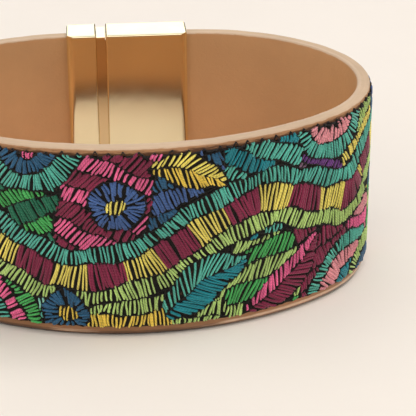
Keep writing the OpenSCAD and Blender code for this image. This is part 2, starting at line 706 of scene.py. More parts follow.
def drawn(spots: Points, by: float) -> Points:
    """Places moved along the strap, then pushed about a little as a free hand draws them."""
    x, y = spots[..., 0] + by, spots[..., 1]
    return np.stack([x + sum(s.at(x, y) for s in SIDEWAYS), y + sum(s.at(x, y) for s in UPWARDS)], -1)


@dataclass
class Chart:
    """All the figures, the lowest first, repeated along the strap.

    Attributes:
        motifs: The figures of one repeat, the lowest first.
        repeat: The length of a repeat.
        half_length: Half of the embroidered length.
        height: The embroidered height.
        hem: The height below which there are no stitches.
        shortest: The length under which a stitch is left out.
        shortest_line: The length under which a line between figures is left out.
        clear_below: How far above the hem those lines stop.
        clear_above: How far below the upper edge they stop.
        beside: How far beside its outline a figure is looked for.
        placed: Every figure of every repeat, with how far along the strap it is moved.
        owner: The number of the figure that shows in each cell, by row and column.
    """

    motifs: tuple[Motif, ...]
    repeat: float
    half_length: float
    height: float
    hem: float
    shortest: float = 0.75
    shortest_line: float = 1.0
    clear_below: float = 0.3
    clear_above: float = 0.4
    beside: float = 0.2
    placed: list[tuple[Motif, float]] = field(init=False)
    owner: np.ndarray = field(init=False)

    def __post_init__(self) -> None:
        """Places every figure in every repeat and marks who covers what."""
        self.placed = [(m, k * self.repeat) for m in self.motifs for k in (-1, 0, 1)]
        rows, columns = round(self.height / CHART_STEP), round(2 * self.half_length / CHART_STEP)
        self.owner = np.full((rows, columns), BARE)
        for number, (motif, by) in enumerate(self.placed):
            self.cover(number, drawn(motif.outline(), by))

    def cover(self, number: int, outline: Points) -> None:
        """Marks the cells inside an outline as one figure's.

        Args:
            number: The figure's number.
            outline: Its closed outline.
        """
        a, b = outline, np.roll(outline, -1, axis=0)
        for row in range(self.owner.shape[0]):
            y = (row + 0.5) * CHART_STEP
            hit = (a[:, 1] > y) != (b[:, 1] > y)
            if y < self.hem or not hit.any():
                continue
            p, q = a[hit], b[hit]
            x = np.sort(p[:, 0] + (y - p[:, 1]) / (q[:, 1] - p[:, 1]) * (q[:, 0] - p[:, 0]))
            columns = np.round((x + self.half_length) / CHART_STEP).astype(int)
            columns = np.clip(columns, 0, self.owner.shape[1])
            for first, last in zip(columns[::2], columns[1::2]):
                self.owner[row, first:last] = number

    def owner_at(self, spots: Points) -> np.ndarray:
        """Looks up which figure shows.

        Args:
            spots: Places on the chart.

        Returns:
            Each spot's figure, or what stands for none or for outside the chart.
        """
        rows, columns = self.owner.shape
        column = np.floor((spots[..., 0] + self.half_length) / CHART_STEP).astype(int)
        row = np.floor(spots[..., 1] / CHART_STEP).astype(int)
        inside = (column >= 0) & (column < columns) & (row >= 0) & (row < rows)
        found = self.owner[np.clip(row, 0, rows - 1), np.clip(column, 0, columns - 1)]
        return np.where(inside, found, OUTSIDE)

    def cut(self, number: int, start: Points, end: Points, steps: int = 48) -> tuple[Points, Points]:
        """Shortens stitches to their longest stretch that shows.

        Args:
            number: The figure that the stitches belong to.
            start: Where they start.
            end: Where they end.
            steps: How many places of each stitch are looked at.

        Returns:
            The starts and ends of the stitches that are left.
        """
        t = (np.arange(steps) + 0.5) / steps
        spots = start[:, None] + (end - start)[:, None] * t[None, :, None]
        shows = self.owner_at(spots) == number
        best = np.zeros(len(start), dtype=int)
        stop = np.zeros(len(start), dtype=int)
        run = np.zeros(len(start), dtype=int)
        for k in range(steps):
            run = np.where(shows[:, k], run + 1, 0)
            stop = np.where(run > best, k + 1, stop)
            best = np.maximum(best, run)
        low, high = (stop - best) / steps, stop / steps
        a = start + (end - start) * low[:, None]
        b = start + (end - start) * high[:, None]
        kept = np.linalg.norm(b - a, axis=1) > self.shortest
        return a[kept], b[kept]

    def runs(self) -> list[Run]:
        """Cuts every figure's stitches to what shows.

        Returns:
            The stitches, figure by figure.
        """
        made = []
        for number, (motif, by) in enumerate(self.placed):
            for r in motif.runs():
                start, end = self.cut(number, drawn(r.start, by), drawn(r.end, by))
                made.append(Run(start, end, r.thread))
        return made

    def stretches(self, line: Points, shows: np.ndarray) -> list[Points]:
        """Cuts a line to the stretches that show and aren't too short.

        Args:
            line: The line's points.
            shows: Which of them show.

        Returns:
            The points of each stretch.
        """
        breaks = np.flatnonzero(np.diff(shows.astype(int))) + 1
        parts = np.split(np.arange(len(line)), breaks)
        return [line[p] for p in parts if shows[p[0]] and len(p) > self.shortest_line / CHART_STEP]

    def edges(self) -> list[Points]:
        """Finds the lines between bands and figures that show.

        Returns:
            Each line's points in order.
        """
        made = []
        for number, (motif, by) in enumerate(self.placed):
            outline = drawn(motif.outline(), by)
            closed = spaced(np.vstack([outline, outline[:1]]))
            beside = normals(closed) * self.beside
            shows = (self.owner_at(closed + beside) == number) | (self.owner_at(closed - beside) == number)
            shows &= closed[:, 1] > self.hem + self.clear_below
            shows &= closed[:, 1] < self.height - self.clear_above
            made += self.stretches(closed, shows)
            for seam in motif.seams():
                line = drawn(seam, by)
                made += self.stretches(line, self.owner_at(line) == number)
        return made


def patches(low: float, high: float, feet: tuple[float, ...], heads: tuple[float, ...],
            looks: tuple[tuple[tuple[Thread, ...], float, float], ...]) -> tuple[Field, ...]:
    """A row of patches that share their sides.

    Args:
        low: The height of the row's lower edge.
        high: The height of its upper edge.
        feet: Where the patches' sides meet the lower edge.
        heads: Where they meet the upper edge.
        looks: Each patch's threads, the slope of its rows and the slope of its stitches.

    Returns:
        The patches, from left to right.
    """
    sides = zip(feet, feet[1:], heads, heads[1:])
    return tuple(Field(((a, low), (b, low), (d, high), (c, high)), threads, rows_at=rows, stitches_at=lean)
                 for (a, b, c, d), (threads, rows, lean) in zip(sides, looks))


REPEAT = 81.8
T = Thread
FIGURES: tuple[Motif, ...] = (
    *patches(-0.5, 14.0, (-41.0, -33.0, -18.0, -9.0, 4.0, 11.0, 24.0, 32.0, 40.8),
             (-41.0, -31.0, -20.0, -7.0, 2.0, 13.0, 22.0, 33.0, 40.8),
             (((T.LIME, T.GREEN), 12, 78), ((T.FOREST, T.GREEN), -8, 70), ((T.MIST, T.TEAL), 14, 96),
              ((T.LIME, T.GOLD), 4, 88), ((T.LIME,), -10, 74), ((T.GREEN, T.LIME), 10, 66),
              ((T.PLUM,), 16, 104), ((T.DUSTY, T.PINK), -6, 80))),
    *patches(12.0, 26.5, (-41.0, -34.0, -19.0, -12.0, 0.0, 13.0, 21.0, 30.0, 40.8),
             (-41.0, -29.0, -22.0, -10.0, 3.0, 11.0, 24.0, 32.0, 40.8),
             (((T.ROYAL, T.NAVY), -20, 60), ((T.PURPLE, T.MAUVE), -30, 44), ((T.FOREST, T.GREEN), 24, 120),
              ((T.PLUM, T.PINK), -26, 52), ((T.ROYAL, T.NAVY), 20, 112), ((T.LAGOON, T.TEAL), -24, 62),
              ((T.PURPLE, T.MAUVE), -34, 46), ((T.YELLOW, T.LIME), 22, 118))),
    Rosette((-26.0, -1.2), (2.6, 5.0, 7.4, 10.0, 12.4), (T.YELLOW, T.PLUM, T.TEAL, T.PINK, T.GREEN)),
    Rosette((34.0, -1.6), (2.4, 4.8, 7.2, 9.4), (T.GOLD, T.LAGOON, T.DUSTY, T.TEAL)),
    Rosette((-41.5, -2.0), (2.2, 4.8, 7.2), (T.GOLD, T.NAVY, T.LIME)),
    Rosette((29.0, 27.5), (2.2, 4.6, 7.0), (T.GOLD, T.DUSTY, T.TEAL)),
    Rosette((-15.0, 27.6), (2.4, 4.8, 7.4), (T.PINK, T.NAVY, T.TEAL)),
    Ribbon(((-45.0, 16.5), (-41.0, 18.6), (-34.5, 20.0), (-27.0, 17.5), (-19.0, 11.6), (-10.0, 8.0),
            (0.0, 9.6), (9.0, 14.6), (18.0, 17.6), (27.0, 15.2), (34.0, 14.2), (40.8, 18.6), (47.3, 20.0)),
           (2.4, 3.8, 2.4), ((T.LIME,), (T.PLUM, T.YELLOW), (T.TEAL,)), block=5.2),
    Leaf((3.0, 1.6), (15.5, 9.6), 6.4, (T.TEAL, T.LAGOON), bend=1.4),
    Leaf((14.5, 0.8), (27.0, 10.2), 5.4, (T.PINK, T.PLUM), bend=-1.2),
    Leaf((1.0, 24.2), (12.5, 20.4), 4.8, (T.YELLOW, T.GOLD), bend=1.0),
    Rosette((-3.2, 18.6), (1.3, 3.7), (T.YELLOW, T.ROYAL)),
    Rosette((-10.5, 2.6), (1.2, 3.3), (T.GOLD, T.NAVY)),
)


def linear(colour: Colour) -> tuple[float, float, float, float]:
    """A colour as it looks on screen, turned into the renderer's linear light."""
    steps = [c / 12.92 if c <= 0.04045 else ((c + 0.055) / 1.055) ** 2.4 for c in colour]
    return (*steps, 1.0)


class Nodes:
    """Places shader nodes in a tree and links them by the names of their sockets."""

    def __init__(self, tree: bpy.types.NodeTree) -> None:
        """Starts work on a tree."""
        self.tree = tree

    def add(self, kind: str, inputs: dict | None = None, **settings: object) -> Node:
        """Places a node.

        Args:
            kind: The node's type, without the words that all types share.
            inputs: What goes into its sockets, by name or number: a value or another node's socket.
            settings: The node's own settings.

        Returns:
            The node.
        """
        node = self.tree.nodes.new("ShaderNode" + kind)
        for key, value in settings.items():
            setattr(node, key, value)
        self.fill(node, inputs or {})
        return node

    def fill(self, node: Node, inputs: dict) -> None:
        """Puts values and links into a node's sockets.

        Args:
            node: The node.
            inputs: A value or another node's socket for each socket's name or number.
        """
        for key, value in inputs.items():
            if isinstance(value, Socket):
                self.tree.links.new(value, node.inputs[key])
            else:
                node.inputs[key].default_value = value

    def place(self) -> Socket:
        """Where on the piece a point is, in metres."""
        return self.add("TexCoord").outputs["Object"]

    def carried(self, name: str) -> Socket:
        """A value that the mesh carries."""
        return self.add("Attribute", attribute_name=name).outputs["Fac"]

    def apart(self, vector: Socket) -> tuple[Socket, Socket, Socket]:
        """A vector's three parts."""
        return tuple(self.add("SeparateXYZ", {0: vector}).outputs)

    def joined(self, *parts: object) -> Socket:
        """A vector from its parts."""
        return self.add("CombineXYZ", dict(enumerate(parts))).outputs[0]

    def stretched(self, vector: Socket, scale: tuple[float, float, float]) -> Socket:
        """A vector whose parts are multiplied."""
        return self.add("Mapping", {"Vector": vector, "Scale": scale}).outputs[0]

    def math(self, operation: str, *values: object) -> Socket:
        """What an operation makes of its numbers."""
        return self.add("Math", dict(enumerate(values)), operation=operation).outputs[0]

    def chain(self, operation: str, values: tuple) -> Socket:
        """Puts two or more numbers through an operation, from the first to the last.

        Args:
            operation: The operation.
            values: The numbers.

        Returns:
            What it makes of them.
        """
        total = values[0]
        for value in values[1:]:
            total = self.math(operation, total, value)
        return total

    def plus(self, *values: object) -> Socket:
        """The sum of numbers."""
        return self.chain("ADD", values)

    def minus(self, *values: object) -> Socket:
        """The first number less the others."""
        return self.chain("SUBTRACT", values)

    def times(self, *values: object) -> Socket:
        """The product of numbers."""
        return self.chain("MULTIPLY", values)

    def distance(self, value: Socket, middle: float) -> Socket:
        """How far a number is from a middle one."""
        return self.math("ABSOLUTE", self.minus(value, middle))

    def steps(self, value: object, low: float, high: float, to_low: object = 0.0,
              to_high: object = 1.0) -> Socket:
        """A smooth rise from one number to another while a value goes from low to high."""
        inputs = {"Value": value, "From Min": low, "From Max": high, "To Min": to_low, "To Max": to_high}
        return self.add("MapRange", inputs, interpolation_type="SMOOTHSTEP").outputs["Result"]

    def blend(self, share: object, first: object, second: object, kind: str = "MIX") -> Socket:
        """Two colours mixed."""
        node = self.add("Mix", {0: share, 6: first, 7: second}, data_type="RGBA", blend_type=kind)
        return node.outputs[2]

    def tinted(self, colour: object, value: Socket) -> Socket:
        """A colour made darker or lighter by a number."""
        return self.blend(1.0, colour, value, "MULTIPLY")

    def noise(self, vector: object, scale: object, detail: float = 2.0, roughness: float = 0.5) -> Socket:
        """Soft random variation from 0 to 1."""
        inputs = {"Vector": vector, "Scale": scale, "Detail": detail, "Roughness": roughness}
        return self.add("TexNoise", inputs).outputs[0]

    def relief(self, height: Socket, strength: float, depth: float) -> Socket:
        """A normal that follows a height, with its full depth in metres."""
        inputs = {"Height": height, "Strength": strength, "Distance": depth}
        return self.add("Bump", inputs).outputs[0]


class Effects:
    """The effects that several finishes share, each a node group that is built once."""

    def __init__(self) -> None:
        """Builds the groups."""
        self.mottle = self.make_mottle()
        self.grain = self.make_grain()
        self.strands = self.make_strands()

    @staticmethod
    def blank(name: str, inputs: dict[str, str], outputs: tuple[str, ...]) -> tuple[Nodes, dict, Node]:
        """A new node group with float and vector inputs and float outputs.

        Args:
            name: The group's name.
            inputs: Each input's name and its kind, Float or Vector.
            outputs: The outputs' names.

        Returns:
            The group's nodes, its inputs' sockets by name, and its output node.
        """
        group = bpy.data.node_groups.new(name, "ShaderNodeTree")
        for key, kind in inputs.items():
            group.interface.new_socket(key, in_out="INPUT", socket_type="NodeSocket" + kind)
        for key in outputs:
            group.interface.new_socket(key, in_out="OUTPUT", socket_type="NodeSocketFloat")
        source = group.nodes.new("NodeGroupInput")
        result = group.nodes.new("NodeGroupOutput")
        return Nodes(group), {key: source.outputs[key] for key in inputs}, result

    def make_mottle(self) -> bpy.types.NodeTree:
        """Builds cloudy variation between a low and a high value.

        Returns:
            The group.
        """
        inputs = {"Vector": "Vector", "Scale": "Float", "Low": "Float", "High": "Float"}
        nodes, given, result = self.blank("cloudy_mottle", inputs, ("Value",))
        thin, thick = 0.3, 0.7
        cloud = nodes.noise(given["Vector"], given["Scale"], detail=4.0, roughness=0.6)
        nodes.fill(result, {"Value": nodes.steps(cloud, thin, thick, given["Low"], given["High"])})
        return nodes.tree

    def make_grain(self) -> bpy.types.NodeTree:
        """Builds fine pebbled grain with pores, as a height.

        Returns:
            The group.
        """
        inputs = {"Vector": "Vector", "Scale": "Float"}
        nodes, given, result = self.blank("pebbled_grain", inputs, ("Height",))
        wander, fineness, fine_share = 0.0012, 2.6, 0.5
        pebble, pore = 0.35, 0.75
        noise = nodes.add("TexNoise", given).outputs["Color"]
        bent = nodes.add("VectorMath", {0: noise, 1: (wander,) * 3}, operation="MULTIPLY").outputs[0]
        moved = nodes.add("VectorMath", {0: given["Vector"], 1: bent}, operation="ADD").outputs[0]
        cells = nodes.add("TexVoronoi", {"Vector": moved, "Scale": given["Scale"]}, feature="SMOOTH_F1")
        fine = nodes.noise(given["Vector"], nodes.times(given["Scale"], fineness), detail=3.0)
        pebbles = nodes.minus(1.0, nodes.steps(cells.outputs["Distance"], pebble, pore))
        nodes.fill(result, {"Height": nodes.plus(pebbles, nodes.times(fine, fine_share))})
        return nodes.tree

    def make_strands(self) -> bpy.types.NodeTree:
        """Builds a thread's twisted strands, from how far along and how far round it a place is.

        Light multiplies the thread's colour. It is painted light on the strands' crests and painted shade
        in their hollows, changes in tone a little from one stitch to the next and in patches along each,
        and is painted shade down a stitch's two flanks.

        Returns:
            The group.
        """
        inputs = {"Run": "Vector", "Strands": "Float", "Twist": "Float", "Shade": "Float"}
        nodes, given, result = self.blank("twisted_strands", inputs, ("Height", "Light"))
        own_turns, wave_share = 37.0, 0.32
        fibre_scale, fibres_along, fibres_around = 1.6, 1.3, 9.0
        patch_scale, patch_share, shade_share = 1.8, 0.5, 0.15
        hollow_light, crest_light = 0.80, 1.20
        crest, flank_from, flank_to, flank_shade_strength = 0.43, 0.12, 0.40, 0.62
        along, around, _ = nodes.apart(given["Run"])
        own = nodes.times(given["Shade"], own_turns)
        turns = nodes.plus(nodes.times(around, given["Strands"]), nodes.times(along, given["Twist"]), own)
        wave = nodes.math("SINE", nodes.times(turns, 2 * math.pi))
        streaks = nodes.joined(nodes.times(along, fibres_along), nodes.times(around, fibres_around), own)
        height = nodes.plus(nodes.times(wave, wave_share), nodes.noise(streaks, fibre_scale))
        patchy = nodes.minus(nodes.noise(nodes.joined(along, own), patch_scale, detail=1.0), 0.5)
        # Painted shade down the stitch's two flanks, deepest far from the crest.
        painted_flank_shade = nodes.steps(nodes.distance(around, crest), flank_from, flank_to)
        # Painted light on the strands' crests and painted shade in their hollows, varied by each stitch's
        # own tone and patches.
        light = nodes.plus(nodes.steps(height, 0.0, 1.0, hollow_light, crest_light),
                           nodes.times(given["Shade"], shade_share), nodes.times(patchy, patch_share))
        light = nodes.times(light, nodes.minus(1.0, nodes.times(painted_flank_shade, flank_shade_strength)))
        nodes.fill(result, {"Height": height, "Light": light})
        return nodes.tree

    def mottled(self, nodes: Nodes, place: Socket, scale: float, low: float, high: float) -> Socket:
        """Cloudy variation between a low and a high value, placed in a material."""
        inputs = {"Vector": place, "Scale": scale, "Low": low, "High": high}
        return nodes.add("Group", inputs, node_tree=self.mottle).outputs["Value"]

    def pebbled(self, nodes: Nodes, place: Socket, scale: float) -> Socket:
        """The height of fine grain, placed in a material."""
        return nodes.add("Group", {"Vector": place, "Scale": scale}, node_tree=self.grain).outputs["Height"]

    def stranded(self, nodes: Nodes, strands: float, twist: float) -> tuple[Socket, Socket]:
        """Places a thread's strands in a material.

        Args:
            nodes: The material's nodes.
            strands: How many strands show across the thread.
            twist: How many times a strand goes round it in a millimetre.

        Returns:
            The strands' height and light.
        """
        inputs = {"Run": nodes.add("UVMap", uv_map=RUN_MAP).outputs[0], "Strands": strands,
                  "Twist": twist, "Shade": nodes.carried("shade")}
        node = nodes.add("Group", inputs, node_tree=self.strands)
        return node.outputs["Height"], node.outputs["Light"]


class Finish(ABC):
    """A surface finish that can be made into a Blender material."""

    @abstractmethod
    def dress(self, nodes: Nodes, surface: Node, effects: Effects) -> None:
        """Sets up the material's surface.

        Args:
            nodes: The material's nodes.
            surface: Its surface shader.
            effects: The shared effects.
        """

    def material(self, name: str, effects: Effects) -> Material:
        """Makes the material.

        Args:
            name: Its name.
            effects: The shared effects.

        Returns:
            The material.
        """
        made = bpy.data.materials.new(name)
        made.use_nodes = True
        surface = next(n for n in made.node_tree.nodes if n.type == "BSDF_PRINCIPLED")
        self.dress(Nodes(made.node_tree), surface, effects)
        return made


@dataclass(frozen=True)
class ThreadFinish(Finish):
    """Stranded cotton with a soft sheen.

    Attributes:
        colour: Its colour as it looks on screen.
        strands: How many strands show across it.
        twist: How many times a strand goes round it in a millimetre.
        rough: Its roughness in the hollows between strands.
        polish: How much smoother its strands' crests are.
        sheen: The weight of its sheen.
        clouds: The clouds in its colour.
        bump: The relief of its strands.
    """

    colour: Colour
    strands: float = 2.0
    twist: float = 2.3
    rough: float = 0.6
    polish: float = 0.15
    sheen: float = 0.25
    clouds: Clouds = (170.0, 0.88, 1.16)
    bump: Relief = (0.7, 0.04 * MM)

    def dress(self, nodes: Nodes, surface: Node, effects: Effects) -> None:
        """Colours the strands, with painted light and shade on them, and gives them their relief.

        Args:
            nodes: The material's nodes.
            surface: Its surface shader.
            effects: The shared effects.
        """
        height, light = effects.stranded(nodes, self.strands, self.twist)
        light = nodes.times(light, effects.mottled(nodes, nodes.place(), *self.clouds))
        nodes.fill(surface, {"Base Color": nodes.tinted(linear(self.colour), light),
                             "Roughness": nodes.minus(self.rough, nodes.times(height, self.polish)),
                             "Normal": nodes.relief(height, *self.bump), "Sheen Weight": self.sheen,
                             "Sheen Roughness": 0.4, "Specular IOR Level": 0.35})


@dataclass(frozen=True)
class GroundFinish(Finish):
    """Close black stitching with a few brown flecks.

    Attributes:
        dark: The stitching's colour as it looks on screen.
        fleck: The flecks' colour.
        fleck_scale: The scale of the noise that the flecks are cut from.
        fleck_band: Where in that noise a fleck starts and is full.
        flecked: The clouds that the flecks come in.
        grain: The scale of the fibres.
        bump: The relief of the fibres.
    """

    dark: Colour = (0.068, 0.060, 0.050)
    fleck: Colour = (0.33, 0.23, 0.17)
    fleck_scale: float = 2600.0
    fleck_band: Band = (0.57, 0.70)
    flecked: Clouds = (220.0, 0.0, 0.9)
    grain: float = 3200.0
    bump: Relief = (0.8, 0.08 * MM)

    def dress(self, nodes: Nodes, surface: Node, effects: Effects) -> None:
        """Scatters the flecks and gives the ground its fibres.

        Args:
            nodes: The material's nodes.
            surface: Its surface shader.
            effects: The shared effects.
        """
        place = nodes.place()
        cloud = nodes.noise(place, self.fleck_scale, detail=3.0, roughness=0.7)
        flecks = nodes.steps(cloud, *self.fleck_band)
        share = nodes.times(flecks, effects.mottled(nodes, place, *self.flecked))
        fibres = effects.pebbled(nodes, place, self.grain)
        nodes.fill(surface, {"Base Color": nodes.blend(share, linear(self.dark), linear(self.fleck)),
                             "Roughness": nodes.steps(fibres, 0.2, 1.4, 0.95, 0.7),
                             "Normal": nodes.relief(fibres, *self.bump), "Specular IOR Level": 0.25})


@dataclass(frozen=True)
class LeatherFinish(Finish):
    """Tan leather: smooth inside, pale on the upper cut edge, napped beside it, burnished below, with
    painted shade and a painted highlight along its lower edges.

    Its masks come from each place's height on the strap, in millimetres above the lower edge. A
    band holds the two heights that a mask starts and is full at. Colours are as they look on
    screen. A pair of colours is the darker and the lighter one, and the painted edge light along
    the strap chooses between them: painted shade where it is low, painted light where it is high.

    Attributes:
        inside: The colours of the strap's inner face, near its upper and its lower edge.
        rim: The colour of the upper cut edge.
        nap: The colour of the rough leather above the stitching and at its ends.
        shaded: The darker colour of the leather under the stitches, which also shows on the margin just
            above them as dark fibres and painted shade.
        foot: The colours of the bare leather below the stitching.
        turn: The colours where it turns under, darkened with painted shade.
        sole: The colours of its underside, darker still with painted shade.
        painted_highlight: The colour of the painted highlight along the turn.
        hem: The colour of the inner face close to the lower edge, darkened with painted shade.
        top: The strap's upper edge.
        rim_band: The band of the rim, below the upper edge.
        nap_band: The band of the nap, below the upper edge.
        foot_band: That of the foot.
        turn_band: That of the turn.
        sole_band: That of the sole.
        lining_band: Where the inner face's colour changes.
        inner_foot_shade_band: That of the painted shade low on the inner face.
        highlight_level: The height of the painted highlight.
        highlight_band: How far from that height the highlight starts and is full.
        highlight_share: How much painted edge light and streakiness the highlight needs to start and to be
            full.
        streaks: How the nap's streaks are stretched along each axis of the frame.
        lengthways: How the streaks along the lower edge are stretched along and round the strap.
        ragged_scale: The scale of the nap's streaks.
        rim_fray: How far those streaks shift the rim's edge, at their strongest.
        nap_fray: How far they shift the nap's edge.
        nap_depth: Their share in the relief.
        edge_streak_scale: The scale of the streaks along the lower edge.
        edge_streak_fray: How far those shift the edges of the turn's painted shade, the painted highlight
            and the sole's painted shade.
        clouds: The clouds in all colours.
        specks: The specks in the outer colours.
        layers: The layers in the cut edge.
        grain: The scale of the leather's grain.
        bump: The relief of the grain and the nap.
        rough: The roughness of the napped and of the smooth sides.
        shine: The weight and the roughness of the coat that burnishing leaves on the foot.
    """

    inside: tuple[Colour, Colour] = ((0.785, 0.605, 0.425), (0.835, 0.635, 0.45))
    rim: Colour = (0.815, 0.705, 0.595)
    nap: Colour = (0.70, 0.52, 0.37)
    shaded: Colour = (0.36, 0.235, 0.15)
    foot: tuple[Colour, Colour] = ((0.555, 0.38, 0.235), (0.66, 0.46, 0.31))
    turn: tuple[Colour, Colour] = ((0.38, 0.25, 0.15), (0.65, 0.475, 0.345))
    sole: tuple[Colour, Colour] = ((0.11, 0.062, 0.033), (0.50, 0.37, 0.27))
    painted_highlight: Colour = (0.86, 0.72, 0.605)
    hem: Colour = (0.52, 0.37, 0.25)
    top: float = 28.0
    rim_band: Band = (-0.3, -0.16)
    nap_band: Band = (-0.85, -0.4)
    foot_band: Band = (1.9, 1.5)
    turn_band: Band = (0.95, 0.65)
    sole_band: Band = (0.62, 0.22)
    lining_band: Band = (26.0, 4.0)
    inner_foot_shade_band: Band = (4.8, 1.0)
    highlight_level: float = 0.78
    highlight_band: Band = (0.32, 0.08)
    highlight_share: Band = (0.72, 1.12)
    streaks: tuple[float, float, float] = (1.0, 1.0, 6.0)
    lengthways: tuple[float, float, float] = (0.12, 2.2, 1.0)
    ragged_scale: float = 520.0
    rim_fray: float = 0.45
    nap_fray: float = 1.5
    nap_depth: float = 1.5
    edge_streak_scale: float = 1.4
    edge_streak_fray: float = 0.5
    clouds: Clouds = (60.0, 0.93, 1.05)
    specks: Clouds = (1700.0, 0.90, 1.04)
    layers: Clouds = (1.3, 0.95, 1.03)
    grain: float = 2300.0
    bump: Relief = (0.35, 0.05 * MM)
    rough: tuple[float, float] = (0.85, 0.5)
    shine: tuple[float, float] = (0.35, 0.18)

    def face_colour(self, nodes: Nodes, level: Socket, ragged: Socket) -> Socket:
        """The colour of the inner face, with painted shade close to its lower edge.

        Args:
            nodes: The material's nodes.
            level: Each place's height on the strap.
            ragged: The nap's streaks, around zero.

        Returns:
            The colour.
        """
        lining = nodes.blend(nodes.steps(level, *self.lining_band), *map(linear, self.inside))
        # Painted shade: the inner face darkens towards its lower edge.
        low = nodes.steps(nodes.plus(level, ragged), *self.inner_foot_shade_band)
        return nodes.blend(low, lining, linear(self.hem))

    def foot_colour(self, nodes: Nodes, level: Socket, lengthways: Socket) -> Socket:
        """The colour of the burnished leather below the stitching, down to the underside, with painted
        shade, painted light and a painted highlight.

        Args:
            nodes: The material's nodes.
            level: Each place's height on the strap.
            lengthways: The place along and round the strap that streaks are drawn by.

        Returns:
            The colour.
        """
        # Painted light and shade along the strap: low values darken the lower edge, high ones lighten it.
        painted_edge_light = nodes.carried("painted_edge_light")
        streaky = nodes.noise(lengthways, self.edge_streak_scale, detail=4.0, roughness=0.6)
        wavy = nodes.plus(level, nodes.times(nodes.minus(streaky, 0.5), self.edge_streak_fray))
        pairs = self.foot, self.turn, self.sole
        foot, turn, sole = (nodes.blend(painted_edge_light, *map(linear, pair)) for pair in pairs)
        # Painted shade where the edge turns under.
        colour = nodes.blend(nodes.steps(wavy, *self.turn_band), foot, turn)
        # A painted highlight along the turn, where the painted edge light is high.
        line = nodes.times(nodes.steps(nodes.distance(wavy, self.highlight_level), *self.highlight_band),
                           nodes.steps(nodes.plus(painted_edge_light, streaky), *self.highlight_share))
        colour = nodes.blend(line, colour, linear(self.painted_highlight))
        # Painted shade on the underside.
        return nodes.blend(nodes.steps(wavy, *self.sole_band), colour, sole)

    def dress(self, nodes: Nodes, surface: Node, effects: Effects) -> None:
        """Colours the sides of the leather and gives each its grain.

        Args:
            nodes: The material's nodes.
            surface: Its surface shader.
            effects: The shared effects.
        """
        rim_low, rim_high, nap_low, nap_high = (self.top + level for level in self.rim_band + self.nap_band)
        place, level = nodes.place(), nodes.carried("level")
        inner = nodes.steps(nodes.carried("inner"), 0.3, 0.7)
        streaks = nodes.stretched(place, self.streaks)
        lengthways = nodes.stretched(nodes.add("UVMap", uv_map=RUN_MAP).outputs[0], self.lengthways)
        ragged = nodes.minus(nodes.noise(streaks, self.ragged_scale, detail=5.0, roughness=0.65), 0.5)
        rim = nodes.steps(nodes.plus(level, nodes.times(ragged, self.rim_fray)), rim_low, rim_high)
        napped = nodes.steps(nodes.plus(level, nodes.times(ragged, self.nap_fray)), nap_low, nap_high)
        napped = nodes.math("MAXIMUM", napped, nodes.carried("bare"))
        foot = nodes.steps(level, *self.foot_band)
        # Below the nap's edge the margin takes the darker leather: dark fibres and painted shade just above
        # the stitching.
        outer = nodes.blend(napped, linear(self.shaded), linear(self.nap))
        outer = nodes.blend(foot, outer, self.foot_colour(nodes, level, lengthways))
        outer = nodes.tinted(outer, effects.mottled(nodes, streaks, *self.specks))
        edge = nodes.tinted(linear(self.rim), effects.mottled(nodes, lengthways, *self.layers))
        face = nodes.times(inner, nodes.minus(1.0, rim))
        colour = nodes.blend(face, nodes.blend(rim, outer, edge), self.face_colour(nodes, level, ragged))
        colour = nodes.tinted(colour, effects.mottled(nodes, place, *self.clouds))
        height = nodes.plus(effects.pebbled(nodes, place, self.grain), nodes.times(ragged, self.nap_depth))
        rough = nodes.steps(nodes.math("MAXIMUM", foot, inner), 0.0, 1.0, *self.rough)
        coat, coat_rough = self.shine
        nodes.fill(surface, {"Base Color": colour, "Roughness": rough,
                             "Normal": nodes.relief(height, *self.bump), "Specular IOR Level": 0.4,
                             "Coat Weight": nodes.times(foot, coat), "Coat Roughness": coat_rough})


@dataclass(frozen=True)
class GoldFinish(Finish):
    """Polished pale gold plating, with painted shade in the sunken neck between the halves.

    Attributes:
        colour: The plating's colour as it looks on screen.
        painted_neck_shade: Its darker colour in the neck: painted shade.
        neck: The range of places along the clasp that the neck takes, in metres.
        shoulder: The height up to which the neck has its painted shade, in metres.
        slope: How much the polish turns the upright faces down, as hand polishing does.
        grain: The height of the grain that it leaves, in metres.
        grain_scale: The scale of that grain.
        haze: The clouds in its roughness.
        tone: The clouds in its colour.
    """

    colour: Colour = (1.0, 0.955, 0.80)
    painted_neck_shade: Colour = (0.90, 0.80, 0.62)
    neck: Band = (-4.78 * MM, -3.3 * MM)
    shoulder: float = 28.6 * MM
    slope: float = 0.023
    grain: float = 0.0008 * MM
    grain_scale: float = 700.0
    haze: Clouds = (90.0, 0.08, 0.14)
    tone: Clouds = (40.0, 0.97, 1.02)

    def dress(self, nodes: Nodes, surface: Node, effects: Effects) -> None:
        """Gives the polish its faint unevenness and slope, and paints shade in the neck.

        Args:
            nodes: The material's nodes.
            surface: Its surface shader.
            effects: The shared effects.
        """
        place = nodes.place()
        x, _, z = nodes.apart(place)
        grain = effects.pebbled(nodes, place, self.grain_scale)
        height = nodes.plus(nodes.times(z, self.slope), nodes.times(grain, self.grain))
        # Painted shade in the sunken neck, up to its shoulder.
        neck_shade_mask = nodes.times(nodes.math("GREATER_THAN", x, self.neck[0]),
                             nodes.math("LESS_THAN", x, self.neck[1]),
                             nodes.math("LESS_THAN", z, self.shoulder))
        plating = nodes.blend(neck_shade_mask, linear(self.colour), linear(self.painted_neck_shade))
        nodes.fill(surface, {"Base Color": nodes.tinted(plating, effects.mottled(nodes, place, *self.tone)),
                             "Metallic": 1.0, "Roughness": effects.mottled(nodes, place, *self.haze),
                             "Normal": nodes.relief(height, 1.0, 1.0)})


